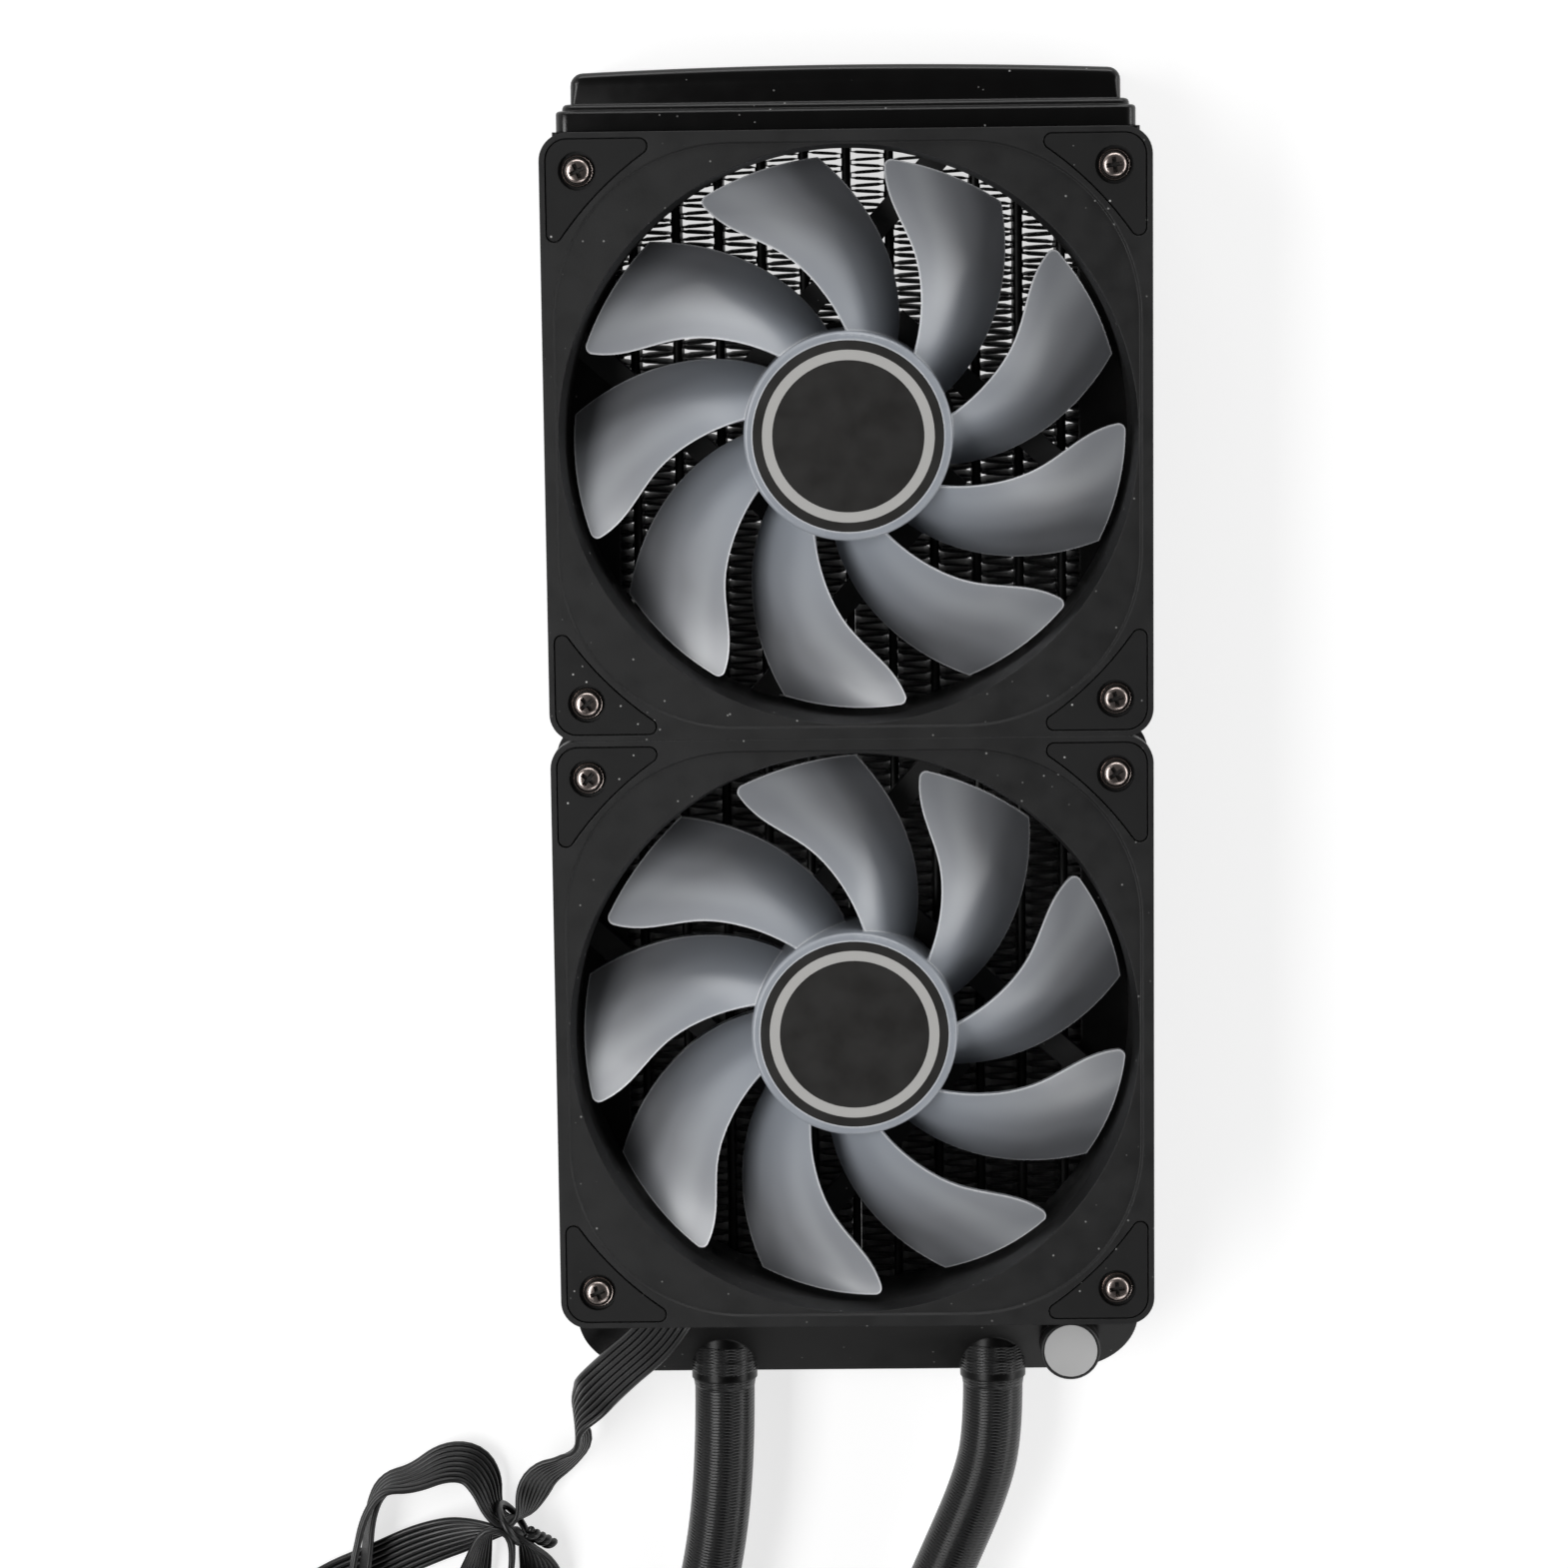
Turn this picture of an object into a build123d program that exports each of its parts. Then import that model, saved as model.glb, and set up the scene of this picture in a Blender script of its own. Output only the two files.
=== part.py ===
from build123d import *
import os
from math import atan2, cos, degrees, hypot, radians, sin, sqrt, tan

# Liquid cooler for a processor: a flat radiator with two fans on it, two hoses and a pump block.
# X is across the radiator, +Y runs to the plain end tank, +Z from the radiator's back to the fans.
# The origin is the middle of the radiator's back face. All sizes are millimetres.

# Fits
SEAT = 0.02  # gap between pieces that are pressed or set into each other
RUNNING = 0.05  # radial gap between a shaft and its bearing
SCREW_PLAY = 0.5  # radial gap between a fan screw's shank and the frame's hole
OVERCUT = 1.0  # how far a cut runs past what it cuts

# Radiator
RADIATOR_DEPTH = 27.0
FAN_OVERHANG = 1.0  # how far the fans stand out over each side of the radiator
CHANNEL_WALL = 1.2
CHANNEL_FLANGE = 12.5
CHANNEL_BEND = 1.0
TUBE_PITCH = 8.65
EDGE_ROW = 5.0  # width of the narrower fin row beside each channel
TUBE_THICKNESS = 1.8
CORE_RECESS = 5.5  # how far the tubes lie in from the radiator's front and back
TUBE_WALL = 0.4
FIN_STEP = 7.2
FIN_WALL = 0.4
FIN_FOOT = 0.12
HEADER_THICKNESS = 1.5
CASE_HOLE_RADIUS = 1.75  # for the 3.5 mm screws that computer cases use

# End tanks
TANK_FLANGE = 4.2
TANK_INSET = 0.75  # how far the flange stands back from the channel's side
TANK_FLANGE_CORNER = 2.5
TANK_WALL = 1.8
PLAIN_TANK_LENGTH = 11.7  # at its corners
PLAIN_TANK_RIM = 3.0
PLAIN_TANK_CORNER = 2.2
PLAIN_TANK_FACE_FILLET = 1.1
PLAIN_TANK_BULGE = 1.1  # how far the end face bows out in its middle
TANK_STEP = 2.0
STEP_FILLET = 1.2
PORT_TANK_LENGTH = 19.5
PORT_TANK_CORNER = 14.0
PORT_TANK_NOSE = 13.3
BAFFLE = 2.0

# Ports on the radiator
PORT_SPACING = 56.6
NECK_DIAMETER = 13.8
NECK_REACH = 1.1  # how far the necks stand out past the tank's nose
BARB_BORE = 5.6
BARB_WALL = 0.9
BARB_RIDGE = 0.45
BARB_RIDGES = 3
BARB_REACH = 16.0
BARB_ROOT = 5.0
PLUG_INSET = 14.05
PLUG_SETBACK = 12.2
PLUG_DIAMETER = 12.4
PLUG_CAP = 3.0
PLUG_CHAMFER = 0.3
PLUG_THREAD_RADIUS = 3.6
PLUG_THREAD_LENGTH = 5.0
PLUG_SEAL = 1.0
PLUG_SEAL_INSET = 0.4
PLUG_WALL = 1.6
PLUG_PLAY = 0.3

# Fans
FAN_SIZE = 120.0
FAN_DEPTH = 25.0
SCREW_INSET = 7.5
FAN_CORNER = 5.5
FAN_FLANGE = 4.0
APERTURE_MARGIN = 3.7  # least distance from the round opening to the frame's side
FLARE_WIDTH = 0.9
FLARE_DEPTH = 5.0
DISH_RIM = 2.2  # width of the frame's rim round the shallow dish in its front
DISH_CORNER = 35.0
DISH_DEPTH = 0.5
DISH_SLOPE = 0.4  # width of the dish's sloping edge
DUCT_WALL = 1.9
POST_RADIUS = 4.4
PAD_LEG = 23.0  # before its pointed ends are rounded, which leaves about 20
PAD_INSET = 1.4
PAD_GAP = 0.3  # groove round each pad
PAD_THICKNESS = 1.2
PAD_CORNER = 1.4
PAD_SCREW_GAP = 0.6
STRUT_WIDTH = 5.0
STRUT_THICKNESS = 3.0
STRUT_SHIFT = 1.9  # how far outside the hub's radius a strut's middle line passes
STRUT_ANGLE = 138.0
STRUT_COUNT = 4
BASE_RIM = 0.8

# Screws
SCREW_RADIUS = 1.5
SCREW_WASHER_RADIUS = 3.15
SCREW_WASHER = 0.7
SCREW_DOME_RADIUS = 2.55
SCREW_DOME_TOP_RADIUS = 1.85
SCREW_DOME = 1.5
SCREW_BITE = 3.0

# Rotors
HUB_RADIUS = 20.7
HUB_WALL = 1.6
HUB_SETBACK = 0.8  # how far the hub's front stands back from the frame's front
HUB_CAP = 1.8
HUB_FOOT = 5.2
HUB_EDGE = 0.8
HUB_BOSS = 4.0
LABEL_RIM = 1.8
LABEL_THICKNESS = 0.3
BLADE_COUNT = 9
BLADE_SECTIONS = 5
TIP_GAP = 1.5
BLADE_THICKNESS = 1.5
BLADE_CAMBER = 1.6
BLADE_TIP_CORNER = 1.4
BLADE_ROOT_SETBACK = 3.4  # from the frame's front to the front edge, at the hub
BLADE_TIP_SETBACK = 4.8
BLADE_ROOT_BACK = 6.2
BLADE_TIP_BACK = 8.2
BLADE_TIP_ANGLE = 26.2  # angle that the blade's tip takes up
BLADE_BEND = 7.3  # how far in from the tip the front edge starts to sweep back more
TIP_SWEEP = 0.34  # degrees for each millimetre in from the tip, outside the bend
FRONT_SWEEP = 1.06
BACK_SWEEP = 1.02
EDGE_RATIO = 1.035  # radius of a blade's edges over the distance of their upright section
SECTION_REACH = 1.12  # how far a section runs past the blade's edges, as a ratio
SECTION_SPARE = 2.0
UPPER_ROTOR_ANGLE = 2.0
LOWER_ROTOR_ANGLE = -4.5
SHAFT_RADIUS = 1.5
SHAFT_FOOT = 3.4
BEARING_RADIUS = 4.0
BEARING_HEIGHT = 12.0
BEARING_TUBE_WALL = 1.4
MAGNET_THICKNESS = 1.7
MAGNET_HEIGHT = 10.0
AIR_GAP = 0.7
STATOR_HEIGHT = 6.0
STATOR_POLES = 4
STATOR_ARM = 3.6
STATOR_SHOE = 1.6
STATOR_EYE = 2.0
SHOE_GAP = 2.4
COIL_THICKNESS = 1.5
COIL_SPARE = 0.7
COIL_FOOT = 0.6
COIL_LIFT = 1.0
BOARD_GAP = 1.9
BOARD_THICKNESS = 1.0

# Pump block
PUMP_X = -60.0
PUMP_Y = -480.0
PUMP_RADIUS = 34.0
PUMP_FOOT_RIM = 2.0
PUMP_FOOT = 4.8
PUMP_BOARD_SPACE = 2.0
PUMP_COVER_HEIGHT = 13.0
PUMP_COVER_CHAMFER = 3.0
PUMP_WALL = 2.0
PUMP_PORT_SPACING = 28.0
PUMP_PORT_HEIGHT = 17.0
PUMP_NECK = 7.0
PLATE_SIZE = 54.0
PLATE_CORNER = 6.0
PLATE_THICKNESS = 3.2
PLATE_SCREW_INSET = 5.0
PLATE_SCREW_RADIUS = 1.5
PLATE_SCREW_HEAD = 2.8
PLATE_SCREW_SINK = 1.6
PLATE_SCREW_LENGTH = 8.0
PLATE_SCREW_SPARE = 0.5
MICRO_FIN_AREA = 26.0
MICRO_FIN_HEIGHT = 2.4
MICRO_FIN_COUNT = 11
MICRO_FIN_WALL = 1.0
MICRO_FIN_ROOT = 0.5
COOLANT_MARGIN = 2.1
COOLANT_HEIGHT = 3.0
SEAL_MARGIN = 1.5
SEAL_WIDTH = 1.6
SEAL_HEIGHT = 1.5
FLOOR_WALL = 1.8
IMPELLER_RADIUS = 13.5
IMPELLER_DISC = 1.5
IMPELLER_VANES = 6
VANE_HEIGHT = 4.0
VANE_WALL = 1.2
VANE_ROOT = 0.5
VANE_TIP_GAP = 0.3
VANE_SWEEP = 48.0
VANE_BEND_ANGLE = 14.0
VANE_BEND_RADIUS = 8.4
IMPELLER_GAP = 1.0
STEM_RADIUS = 3.5
STEM_PLAY = 0.5
PUMP_MAGNET_RADIUS = 7.8
PUMP_MAGNET_HEIGHT = 9.5
CAN_GAP = 0.7
CAN_WALL = 1.5
PUMP_SHAFT_RADIUS = 1.2
SHAFT_SOCKET = 1.5
PUMP_STATOR_RADIUS = 20.0
PUMP_STATOR_HEIGHT = 7.0
PUMP_STATOR_RIM = 2.5
PUMP_POLES = 6
PUMP_POLE_ARM = 3.0
PUMP_POLE_GAP = 0.2
PUMP_BOARD_PLAY = 1.0
BRACKET_THICKNESS = 1.8
BRACKET_RIM = 5.0
BRACKET_HOLE_SPACING = 75.0
BRACKET_HOLE_RADIUS = 2.1
BRACKET_EAR_RADIUS = 6.0
BRACKET_PLAY = 0.3

# Hoses, as points from the radiator's neck to the pump's neck
HOSE_DIAMETER = 12.6
BEND_SHARE = 0.45
LEFT_HOSE_ROUTE = [
    (-28.3, -140.6, 13.5), (-28.3, -163.0, 13.5), (-33.5, -194.0, 9.8), (-44.0, -232.0, 6.8),
    (-57.5, -273.0, 6.4), (-69.0, -314.0, 6.4), (-74.8, -356.0, 8.5), (-74.0, -398.0, 17.0),
    (-74.0, -439.0, 17.0),
]
RIGHT_HOSE_ROUTE = [
    (28.3, -140.6, 13.5), (28.3, -153.0, 13.5), (25.7, -165.0, 13.0), (17.6, -184.0, 11.6),
    (3.5, -217.0, 8.6), (-12.5, -255.0, 6.4), (-27.5, -295.0, 6.4), (-39.5, -335.0, 6.6),
    (-46.0, -372.0, 9.5), (-46.0, -406.0, 17.0), (-46.0, -439.0, 17.0),
]

# Fan cable: a flat lead, drawn as a plain round tube, and the tied hank that it ends in
CABLE_TUBE_DIAMETER = 4.2
CABLE_EXIT_ANGLE = 238.0
CABLE_EXIT_HEIGHT = 36.0
GROMMET_WIDTH = 12.0
GROMMET_HEIGHT = 5.0
GROMMET_LENGTH = 5.2
CABLE_ROUTE = [
    (-32.6, -112.2, 36.0), (-38.9, -122.3, 36.0), (-47.0, -136.6, 29.6), (-57.0, -150.0, 16.5),
    (-63.0, -162.0, 4.0), (-71.6, -171.8, 4.0),
]
HANK_HEIGHT = 10.0
HANK_NECK_WIDTH = 9.0
HANK_NECK_HEIGHT = 7.0
HANK_NECK_LENGTH = 9.0
HANK_OUTLINE = [
    (-79.5, -174.5), (-84.0, -160.0), (-94.0, -155.0), (-106.0, -162.0), (-114.0, -177.0),
    (-127.0, -190.0), (-129.0, -206.0), (-112.0, -222.0), (-92.0, -236.0), (-70.0, -238.0),
    (-61.0, -222.0), (-60.0, -198.0), (-68.0, -183.0),
]
LEAD_WIDTH = 8.0
LEAD_HEIGHT = 4.0
LEAD_LENGTH = 12.0
TIE_WIDTH = 2.4
TIE_SETBACK = 2.0
TIE_THICKNESS = 1.1
TIE_TAIL_LENGTH = 9.0
TIE_TAIL_RADIUS = 1.0
PLUG_BODY_LENGTH = 14.0
PLUG_BODY_WIDTH = 10.6
PLUG_BODY_HEIGHT = 6.0
PLUG_SOCKETS = 4
PLUG_SOCKET_PITCH = 2.54
PLUG_SOCKET_SIZE = 1.2
PLUG_SOCKET_DEPTH = 4.0
PLUG_BODY_AT = (-86.0, -244.9)

# Sizes that follow from those above
FAN_CENTRES = {"upper": FAN_SIZE / 2, "lower": -FAN_SIZE / 2}
CORE_LENGTH = len(FAN_CENTRES) * FAN_SIZE
HALF_CORE = CORE_LENGTH / 2
RADIATOR_WIDTH = FAN_SIZE - 2 * FAN_OVERHANG
HALF_WIDTH = RADIATOR_WIDTH / 2
MID_DEPTH = RADIATOR_DEPTH / 2
TUBE_DEPTH = RADIATOR_DEPTH - 2 * CORE_RECESS
TUBE_SPAN = RADIATOR_WIDTH - 2 * (CHANNEL_WALL + EDGE_ROW) - TUBE_THICKNESS
TUBE_COUNT = round(TUBE_SPAN / TUBE_PITCH) + 1
TANK_FLANGE_WIDTH = RADIATOR_WIDTH - 2 * TANK_INSET
PLAIN_TANK_WIDTH = TANK_FLANGE_WIDTH - 2 * PLAIN_TANK_RIM
NECK_END = HALF_CORE + PORT_TANK_LENGTH + NECK_REACH
PLUG_X = TANK_FLANGE_WIDTH / 2 - PLUG_INSET
PLUG_Y = -(HALF_CORE + PLUG_SETBACK)
PLUG_UNDER = RADIATOR_DEPTH - PLUG_CAP
PLUG_SEAT = PLUG_UNDER - PLUG_SEAL
HALF_SCREWS = FAN_SIZE / 2 - SCREW_INSET
APERTURE_RADIUS = FAN_SIZE / 2 - APERTURE_MARGIN
FLARE_RADIUS = APERTURE_RADIUS + FLARE_WIDTH
DUCT_RADIUS = APERTURE_RADIUS + DUCT_WALL
BLADE_TIP_RADIUS = APERTURE_RADIUS - TIP_GAP
BASE_RADIUS = HUB_RADIUS + BASE_RIM
STRUT_OFFSET = HUB_RADIUS + STRUT_SHIFT
HUB_TOP = FAN_DEPTH - HUB_SETBACK
HUB_INSIDE = HUB_TOP - LABEL_THICKNESS - HUB_CAP
HUB_BORE = HUB_RADIUS - HUB_WALL
LABEL_RADIUS = HUB_RADIUS - LABEL_RIM
MAGNET_BORE = HUB_BORE - MAGNET_THICKNESS
BOARD_RADIUS = MAGNET_BORE - BOARD_GAP
BEARING_TUBE_RADIUS = BEARING_RADIUS + SEAT + BEARING_TUBE_WALL
BARB_RADIUS = BARB_BORE / 2 + BARB_WALL
PUMP_FOOT_RADIUS = PUMP_RADIUS + PUMP_FOOT_RIM
PLATE_SCREW_PLACE = PLATE_SIZE / 2 - PLATE_SCREW_INSET
COOLANT_RADIUS = MICRO_FIN_AREA / sqrt(2) + COOLANT_MARGIN
SEAL_RADIUS = COOLANT_RADIUS + SEAL_MARGIN
CAN_RADIUS = PUMP_MAGNET_RADIUS + CAN_GAP + CAN_WALL
CABLE_END = CABLE_ROUTE[-1]
HANK_DIRECTION = degrees(atan2(CABLE_END[1] - CABLE_ROUTE[-2][1], CABLE_END[0] - CABLE_ROUTE[-2][0]))
ROTOR_ANGLES = {"upper": UPPER_ROTOR_ANGLE, "lower": LOWER_ROTOR_ANGLE}
CORNERS = {"top_left": (-1, 1), "top_right": (1, 1), "bottom_left": (-1, -1), "bottom_right": (1, -1)}
BOTTOM = (Align.CENTER, Align.CENTER, Align.MIN)


def post(radius, low, high, x=0.0, y=0.0):
    """A round post or hole along Z between two heights."""
    return Pos(x, y, low) * Cylinder(radius, high - low, align=BOTTOM)


def ring(outer, inner, low, high):
    """A round ring along Z."""
    return post(outer, low, high) - post(inner, low - OVERCUT, high + OVERCUT)


def block(x_span, y_span, z_span):
    """A box given by its two limits along each axis."""
    low = (x_span[0], y_span[0], z_span[0])
    size = (x_span[1] - x_span[0], y_span[1] - y_span[0], z_span[1] - z_span[0])
    return Pos(*low) * Box(*size, align=(Align.MIN, Align.MIN, Align.MIN))


def polar(radius, angle):
    """A point in the plane, from its radius and its angle in degrees."""
    return radius * cos(radians(angle)), radius * sin(radians(angle))


def group(shapes):
    """Several separate solids that share one node."""
    return Compound([solid for shape in shapes for solid in shape.solids()])


# Radiator


def tube_places():
    """The X positions of the flat tubes."""
    first = -(TUBE_COUNT - 1) / 2 * TUBE_PITCH
    return [first + index * TUBE_PITCH for index in range(TUBE_COUNT)]


def flat_tube(x):
    """One flat coolant tube with round edges, from inside one tank to inside the other."""
    bore_depth = TUBE_DEPTH - 2 * TUBE_WALL
    bore = TUBE_THICKNESS - 2 * TUBE_WALL
    outer = SlotOverall(TUBE_DEPTH, TUBE_THICKNESS)
    section = Plane.XZ * (Rot(0, 0, 90) * (outer - Rectangle(bore_depth - bore, bore)))
    return Pos(x, HALF_CORE, MID_DEPTH) * extrude(section, CORE_LENGTH)


def fin_row(left, right):
    """One folded fin strip that runs to and fro between two walls."""
    span = CORE_LENGTH - 2 * HEADER_THICKNESS - 2 * FIN_WALL
    folds = round(span / FIN_STEP)
    step = span / folds
    half = FIN_WALL / 2 * hypot(right - left, step) / step
    low = left + FIN_FOOT + half
    high = right - FIN_FOOT - half
    places = [(low if index % 2 else high, -span / 2 + index * step) for index in range(folds + 1)]
    front = [(x - half, y) for x, y in places]
    back = [(x + half, y) for x, y in reversed(places)]
    outline = make_face(Polyline(*front, *back, close=True))
    return Pos(0, 0, MID_DEPTH - TUBE_DEPTH / 2) * extrude(outline, TUBE_DEPTH)


def core_tubes():
    """All flat tubes."""
    return group([flat_tube(x) for x in tube_places()])


def core_fins():
    """The fin strips between the tubes and out to the side channels."""
    inner = HALF_WIDTH - CHANNEL_WALL
    places = tube_places()
    lefts = [-inner] + [x + TUBE_THICKNESS / 2 for x in places]
    rights = [x - TUBE_THICKNESS / 2 for x in places] + [inner]
    return group([fin_row(left, right) for left, right in zip(lefts, rights)])


def header_plate(side):
    """The plate that closes the core's end, with a slot for each tube."""
    width = RADIATOR_WIDTH - 2 * (CHANNEL_WALL + SEAT)
    depth = RADIATOR_DEPTH - 2 * (CHANNEL_WALL + SEAT)
    face = Rectangle(width, depth)
    slot = Rectangle(TUBE_THICKNESS + 2 * SEAT, TUBE_DEPTH + 2 * SEAT)
    for x in tube_places():
        face -= Pos(x, 0) * slot
    plate = extrude(Plane.XZ * face, HEADER_THICKNESS)
    edge = HALF_CORE if side > 0 else -HALF_CORE + HEADER_THICKNESS
    return Pos(0, edge, MID_DEPTH) * plate


def channel_hole_places(side):
    """Where the fan and case screws go through one side channel."""
    ys = [centre + end * HALF_SCREWS for centre in FAN_CENTRES.values() for end in (-1, 1)]
    return [(side * HALF_SCREWS, y) for y in ys]


def side_channel(side):
    """A folded channel that closes one side of the core and takes the screws."""
    x_span = sorted((side * HALF_WIDTH, side * (HALF_WIDTH - CHANNEL_FLANGE)))
    hollow = sorted((side * (HALF_WIDTH - CHANNEL_WALL), side * (HALF_WIDTH - CHANNEL_FLANGE - OVERCUT)))
    y_span = (-HALF_CORE, HALF_CORE)
    body = block(x_span, y_span, (0, RADIATOR_DEPTH))
    outside = body.edges().filter_by(Axis.Y).group_by(Axis.X)[-1 if side > 0 else 0]
    body = fillet(outside, CHANNEL_BEND)
    past_ends = (-HALF_CORE - OVERCUT, HALF_CORE + OVERCUT)
    body -= block(hollow, past_ends, (CHANNEL_WALL, RADIATOR_DEPTH - CHANNEL_WALL))
    for x, y in channel_hole_places(side):
        body -= post(SCREW_RADIUS + SEAT, MID_DEPTH, RADIATOR_DEPTH + OVERCUT, x, y)
        body -= post(CASE_HOLE_RADIUS, -OVERCUT, MID_DEPTH, x, y)
    return body


# End tanks


def tank_flange(side):
    """The thick rim by which an end tank meets its header plate."""
    near = HALF_CORE
    far = HALF_CORE + TANK_FLANGE
    y_span = sorted((side * near, side * far))
    half = TANK_FLANGE_WIDTH / 2
    body = block((-half, half), y_span, (0, RADIATOR_DEPTH))
    return fillet(body.edges().filter_by(Axis.Y), TANK_FLANGE_CORNER)


def plain_end_tank():
    """The closed tank at the far end, a box with a stepped flange."""
    half = PLAIN_TANK_WIDTH / 2
    top = RADIATOR_DEPTH - TANK_STEP
    corner = HALF_CORE + PLAIN_TANK_LENGTH
    sides = Polyline((-half, corner), (-half, HALF_CORE), (half, HALF_CORE), (half, corner))
    bow = ThreePointArc((half, corner), (0, corner + PLAIN_TANK_BULGE), (-half, corner))
    outer = Pos(0, 0, TANK_STEP) * extrude(make_face([*sides.edges(), bow]), top - TANK_STEP)
    outer = fillet(outer.edges().filter_by(Axis.Y), PLAIN_TANK_CORNER)
    outer = fillet(outer.faces().sort_by(Axis.Y)[-1].edges(), PLAIN_TANK_FACE_FILLET)
    inner = half - TANK_WALL
    y_span = (HALF_CORE - OVERCUT, HALF_CORE + PLAIN_TANK_LENGTH - TANK_WALL)
    hollow = block((-inner, inner), y_span, (TANK_STEP + TANK_WALL, top - TANK_WALL))
    return tank_flange(1) + outer - hollow


def port_tank_body(inset):
    """The port tank's form, or its hollow where it is inset by the wall.

    From the side it slopes from its flange to a blunt nose, and from above it has large round corners.
    """
    near = -HALF_CORE + min(inset, OVERCUT)
    shoulder = -(HALF_CORE + TANK_FLANGE + STEP_FILLET)
    nose = -(HALF_CORE + PORT_TANK_LENGTH) + inset
    low = TANK_STEP + inset
    top = RADIATOR_DEPTH - TANK_STEP - inset
    points = [(near, low), (nose, low), (nose, PORT_TANK_NOSE - inset / 2), (shoulder, top), (near, top)]
    width = TANK_FLANGE_WIDTH - 2 * inset
    wedge = Pos(-width / 2, 0, 0) * extrude(Plane.YZ * make_face(Polyline(*points, close=True)), width)
    long_side = 4 * PORT_TANK_LENGTH
    plan = RectangleRounded(width, long_side, PORT_TANK_CORNER - inset)
    return wedge & Pos(0, nose + long_side / 2, 0) * extrude(plan, RADIATOR_DEPTH)


def fill_boss():
    """The round boss that the fill plug screws into, up to the plug's seal."""
    return post(PLUG_DIAMETER / 2, TANK_STEP, PLUG_SEAT, PLUG_X, PLUG_Y)


def port_end_tank():
    """The tank with both hose necks, the fill boss and the baffle between inlet and outlet."""
    body = tank_flange(-1) + port_tank_body(0)
    body -= post(PLUG_DIAMETER / 2 + PLUG_PLAY, PLUG_SEAT, RADIATOR_DEPTH, PLUG_X, PLUG_Y)
    body += fill_boss()
    necks = []
    for side in (-1, 1):
        x = side * PORT_SPACING / 2
        start = HALF_CORE + TANK_FLANGE
        turned = Rot(90, 0, 0) * Cylinder(NECK_DIAMETER / 2, NECK_END - start, align=BOTTOM)
        necks.append(Pos(x, -start, MID_DEPTH) * turned)
    body += necks
    hollow = port_tank_body(TANK_WALL)
    hollow -= block((-BAFFLE / 2, BAFFLE / 2), (-2 * HALF_CORE, 0), (0, RADIATOR_DEPTH))
    thread = post(PLUG_THREAD_RADIUS + PLUG_WALL, 0, PLUG_SEAT, PLUG_X, PLUG_Y)
    body -= hollow - thread
    for side in (-1, 1):
        bore = Rot(90, 0, 0) * Cylinder(BARB_RADIUS + SEAT, BARB_ROOT + OVERCUT, align=BOTTOM)
        body -= Pos(side * PORT_SPACING / 2, BARB_ROOT - NECK_END, MID_DEPTH) * bore
    low = PLUG_SEAT - PLUG_THREAD_LENGTH - SEAT
    return body - post(PLUG_THREAD_RADIUS + SEAT, low, PLUG_SEAT + OVERCUT, PLUG_X, PLUG_Y)


def barb_profile():
    """Half section of a hose barb: a tube with sawtooth ridges, along its own axis."""
    bore = BARB_BORE / 2
    points = [(bore, -BARB_ROOT), (BARB_RADIUS, -BARB_ROOT)]
    pitch = BARB_REACH / (BARB_RIDGES + 1)
    for ridge in range(1, BARB_RIDGES + 1):
        points.append((BARB_RADIUS, ridge * pitch))
        points.append((BARB_RADIUS + BARB_RIDGE, ridge * pitch))
    points += [(BARB_RADIUS, BARB_REACH), (bore, BARB_REACH)]
    return make_face(Polyline(*points, close=True))


def hose_barb(x, y, z, towards):
    """A barb on the -Y or +Y side of what carries it, its root set in the neck there."""
    barb = revolve(Plane.XZ * barb_profile(), Axis.Z)
    return Pos(x, y, z) * Rot(-90 * towards, 0, 0) * barb


def fill_plug():
    """The round-headed plug with its thread core."""
    head = post(PLUG_DIAMETER / 2, PLUG_UNDER, RADIATOR_DEPTH)
    head = chamfer(head.edges().sort_by(Axis.Z)[-1], PLUG_CHAMFER)
    stem = post(PLUG_THREAD_RADIUS, PLUG_SEAT - PLUG_THREAD_LENGTH, PLUG_UNDER)
    return Pos(PLUG_X, PLUG_Y, 0) * (head + stem)


def fill_plug_seal():
    """The soft ring under the plug's head."""
    outer = PLUG_DIAMETER / 2 - PLUG_SEAL_INSET
    return Pos(PLUG_X, PLUG_Y, 0) * ring(outer, PLUG_THREAD_RADIUS + SEAT, PLUG_SEAT, PLUG_UNDER)


# Fans, each built round its own centre with its back at height 0


def pad_outline(grow=0.0):
    """Plan of a top right corner pad: a rounded triangle whose long side follows the opening."""
    outer = FAN_SIZE / 2 - PAD_INSET
    square = Rectangle(outer, outer, align=(Align.MAX, Align.MAX))
    reach = hypot(outer, outer - PAD_LEG)
    shape = Pos(outer, outer) * square - Circle(reach)
    ends = shape.vertices().sort_by_distance((outer, outer, 0))
    shape = fillet(ends[1:], PAD_CORNER)
    shape = fillet(shape.vertices().sort_by_distance((outer, outer, 0))[0], FAN_CORNER - PAD_INSET)
    return offset(shape, grow) if grow else shape


def pad_place(corner):
    """How far the top right pad is turned to reach a corner."""
    turns = {(1, 1): 0, (-1, 1): 90, (-1, -1): 180, (1, -1): 270}
    return Rot(0, 0, turns[corner])


def corner_pad(corner):
    """A soft pad let into the fan's front, round the screw's head."""
    top = FAN_DEPTH
    body = Pos(0, 0, top - PAD_THICKNESS) * extrude(pad_outline(), PAD_THICKNESS)
    body -= post(SCREW_WASHER_RADIUS + PAD_SCREW_GAP, 0, top + OVERCUT, HALF_SCREWS, HALF_SCREWS)
    return pad_place(corner) * body


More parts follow.
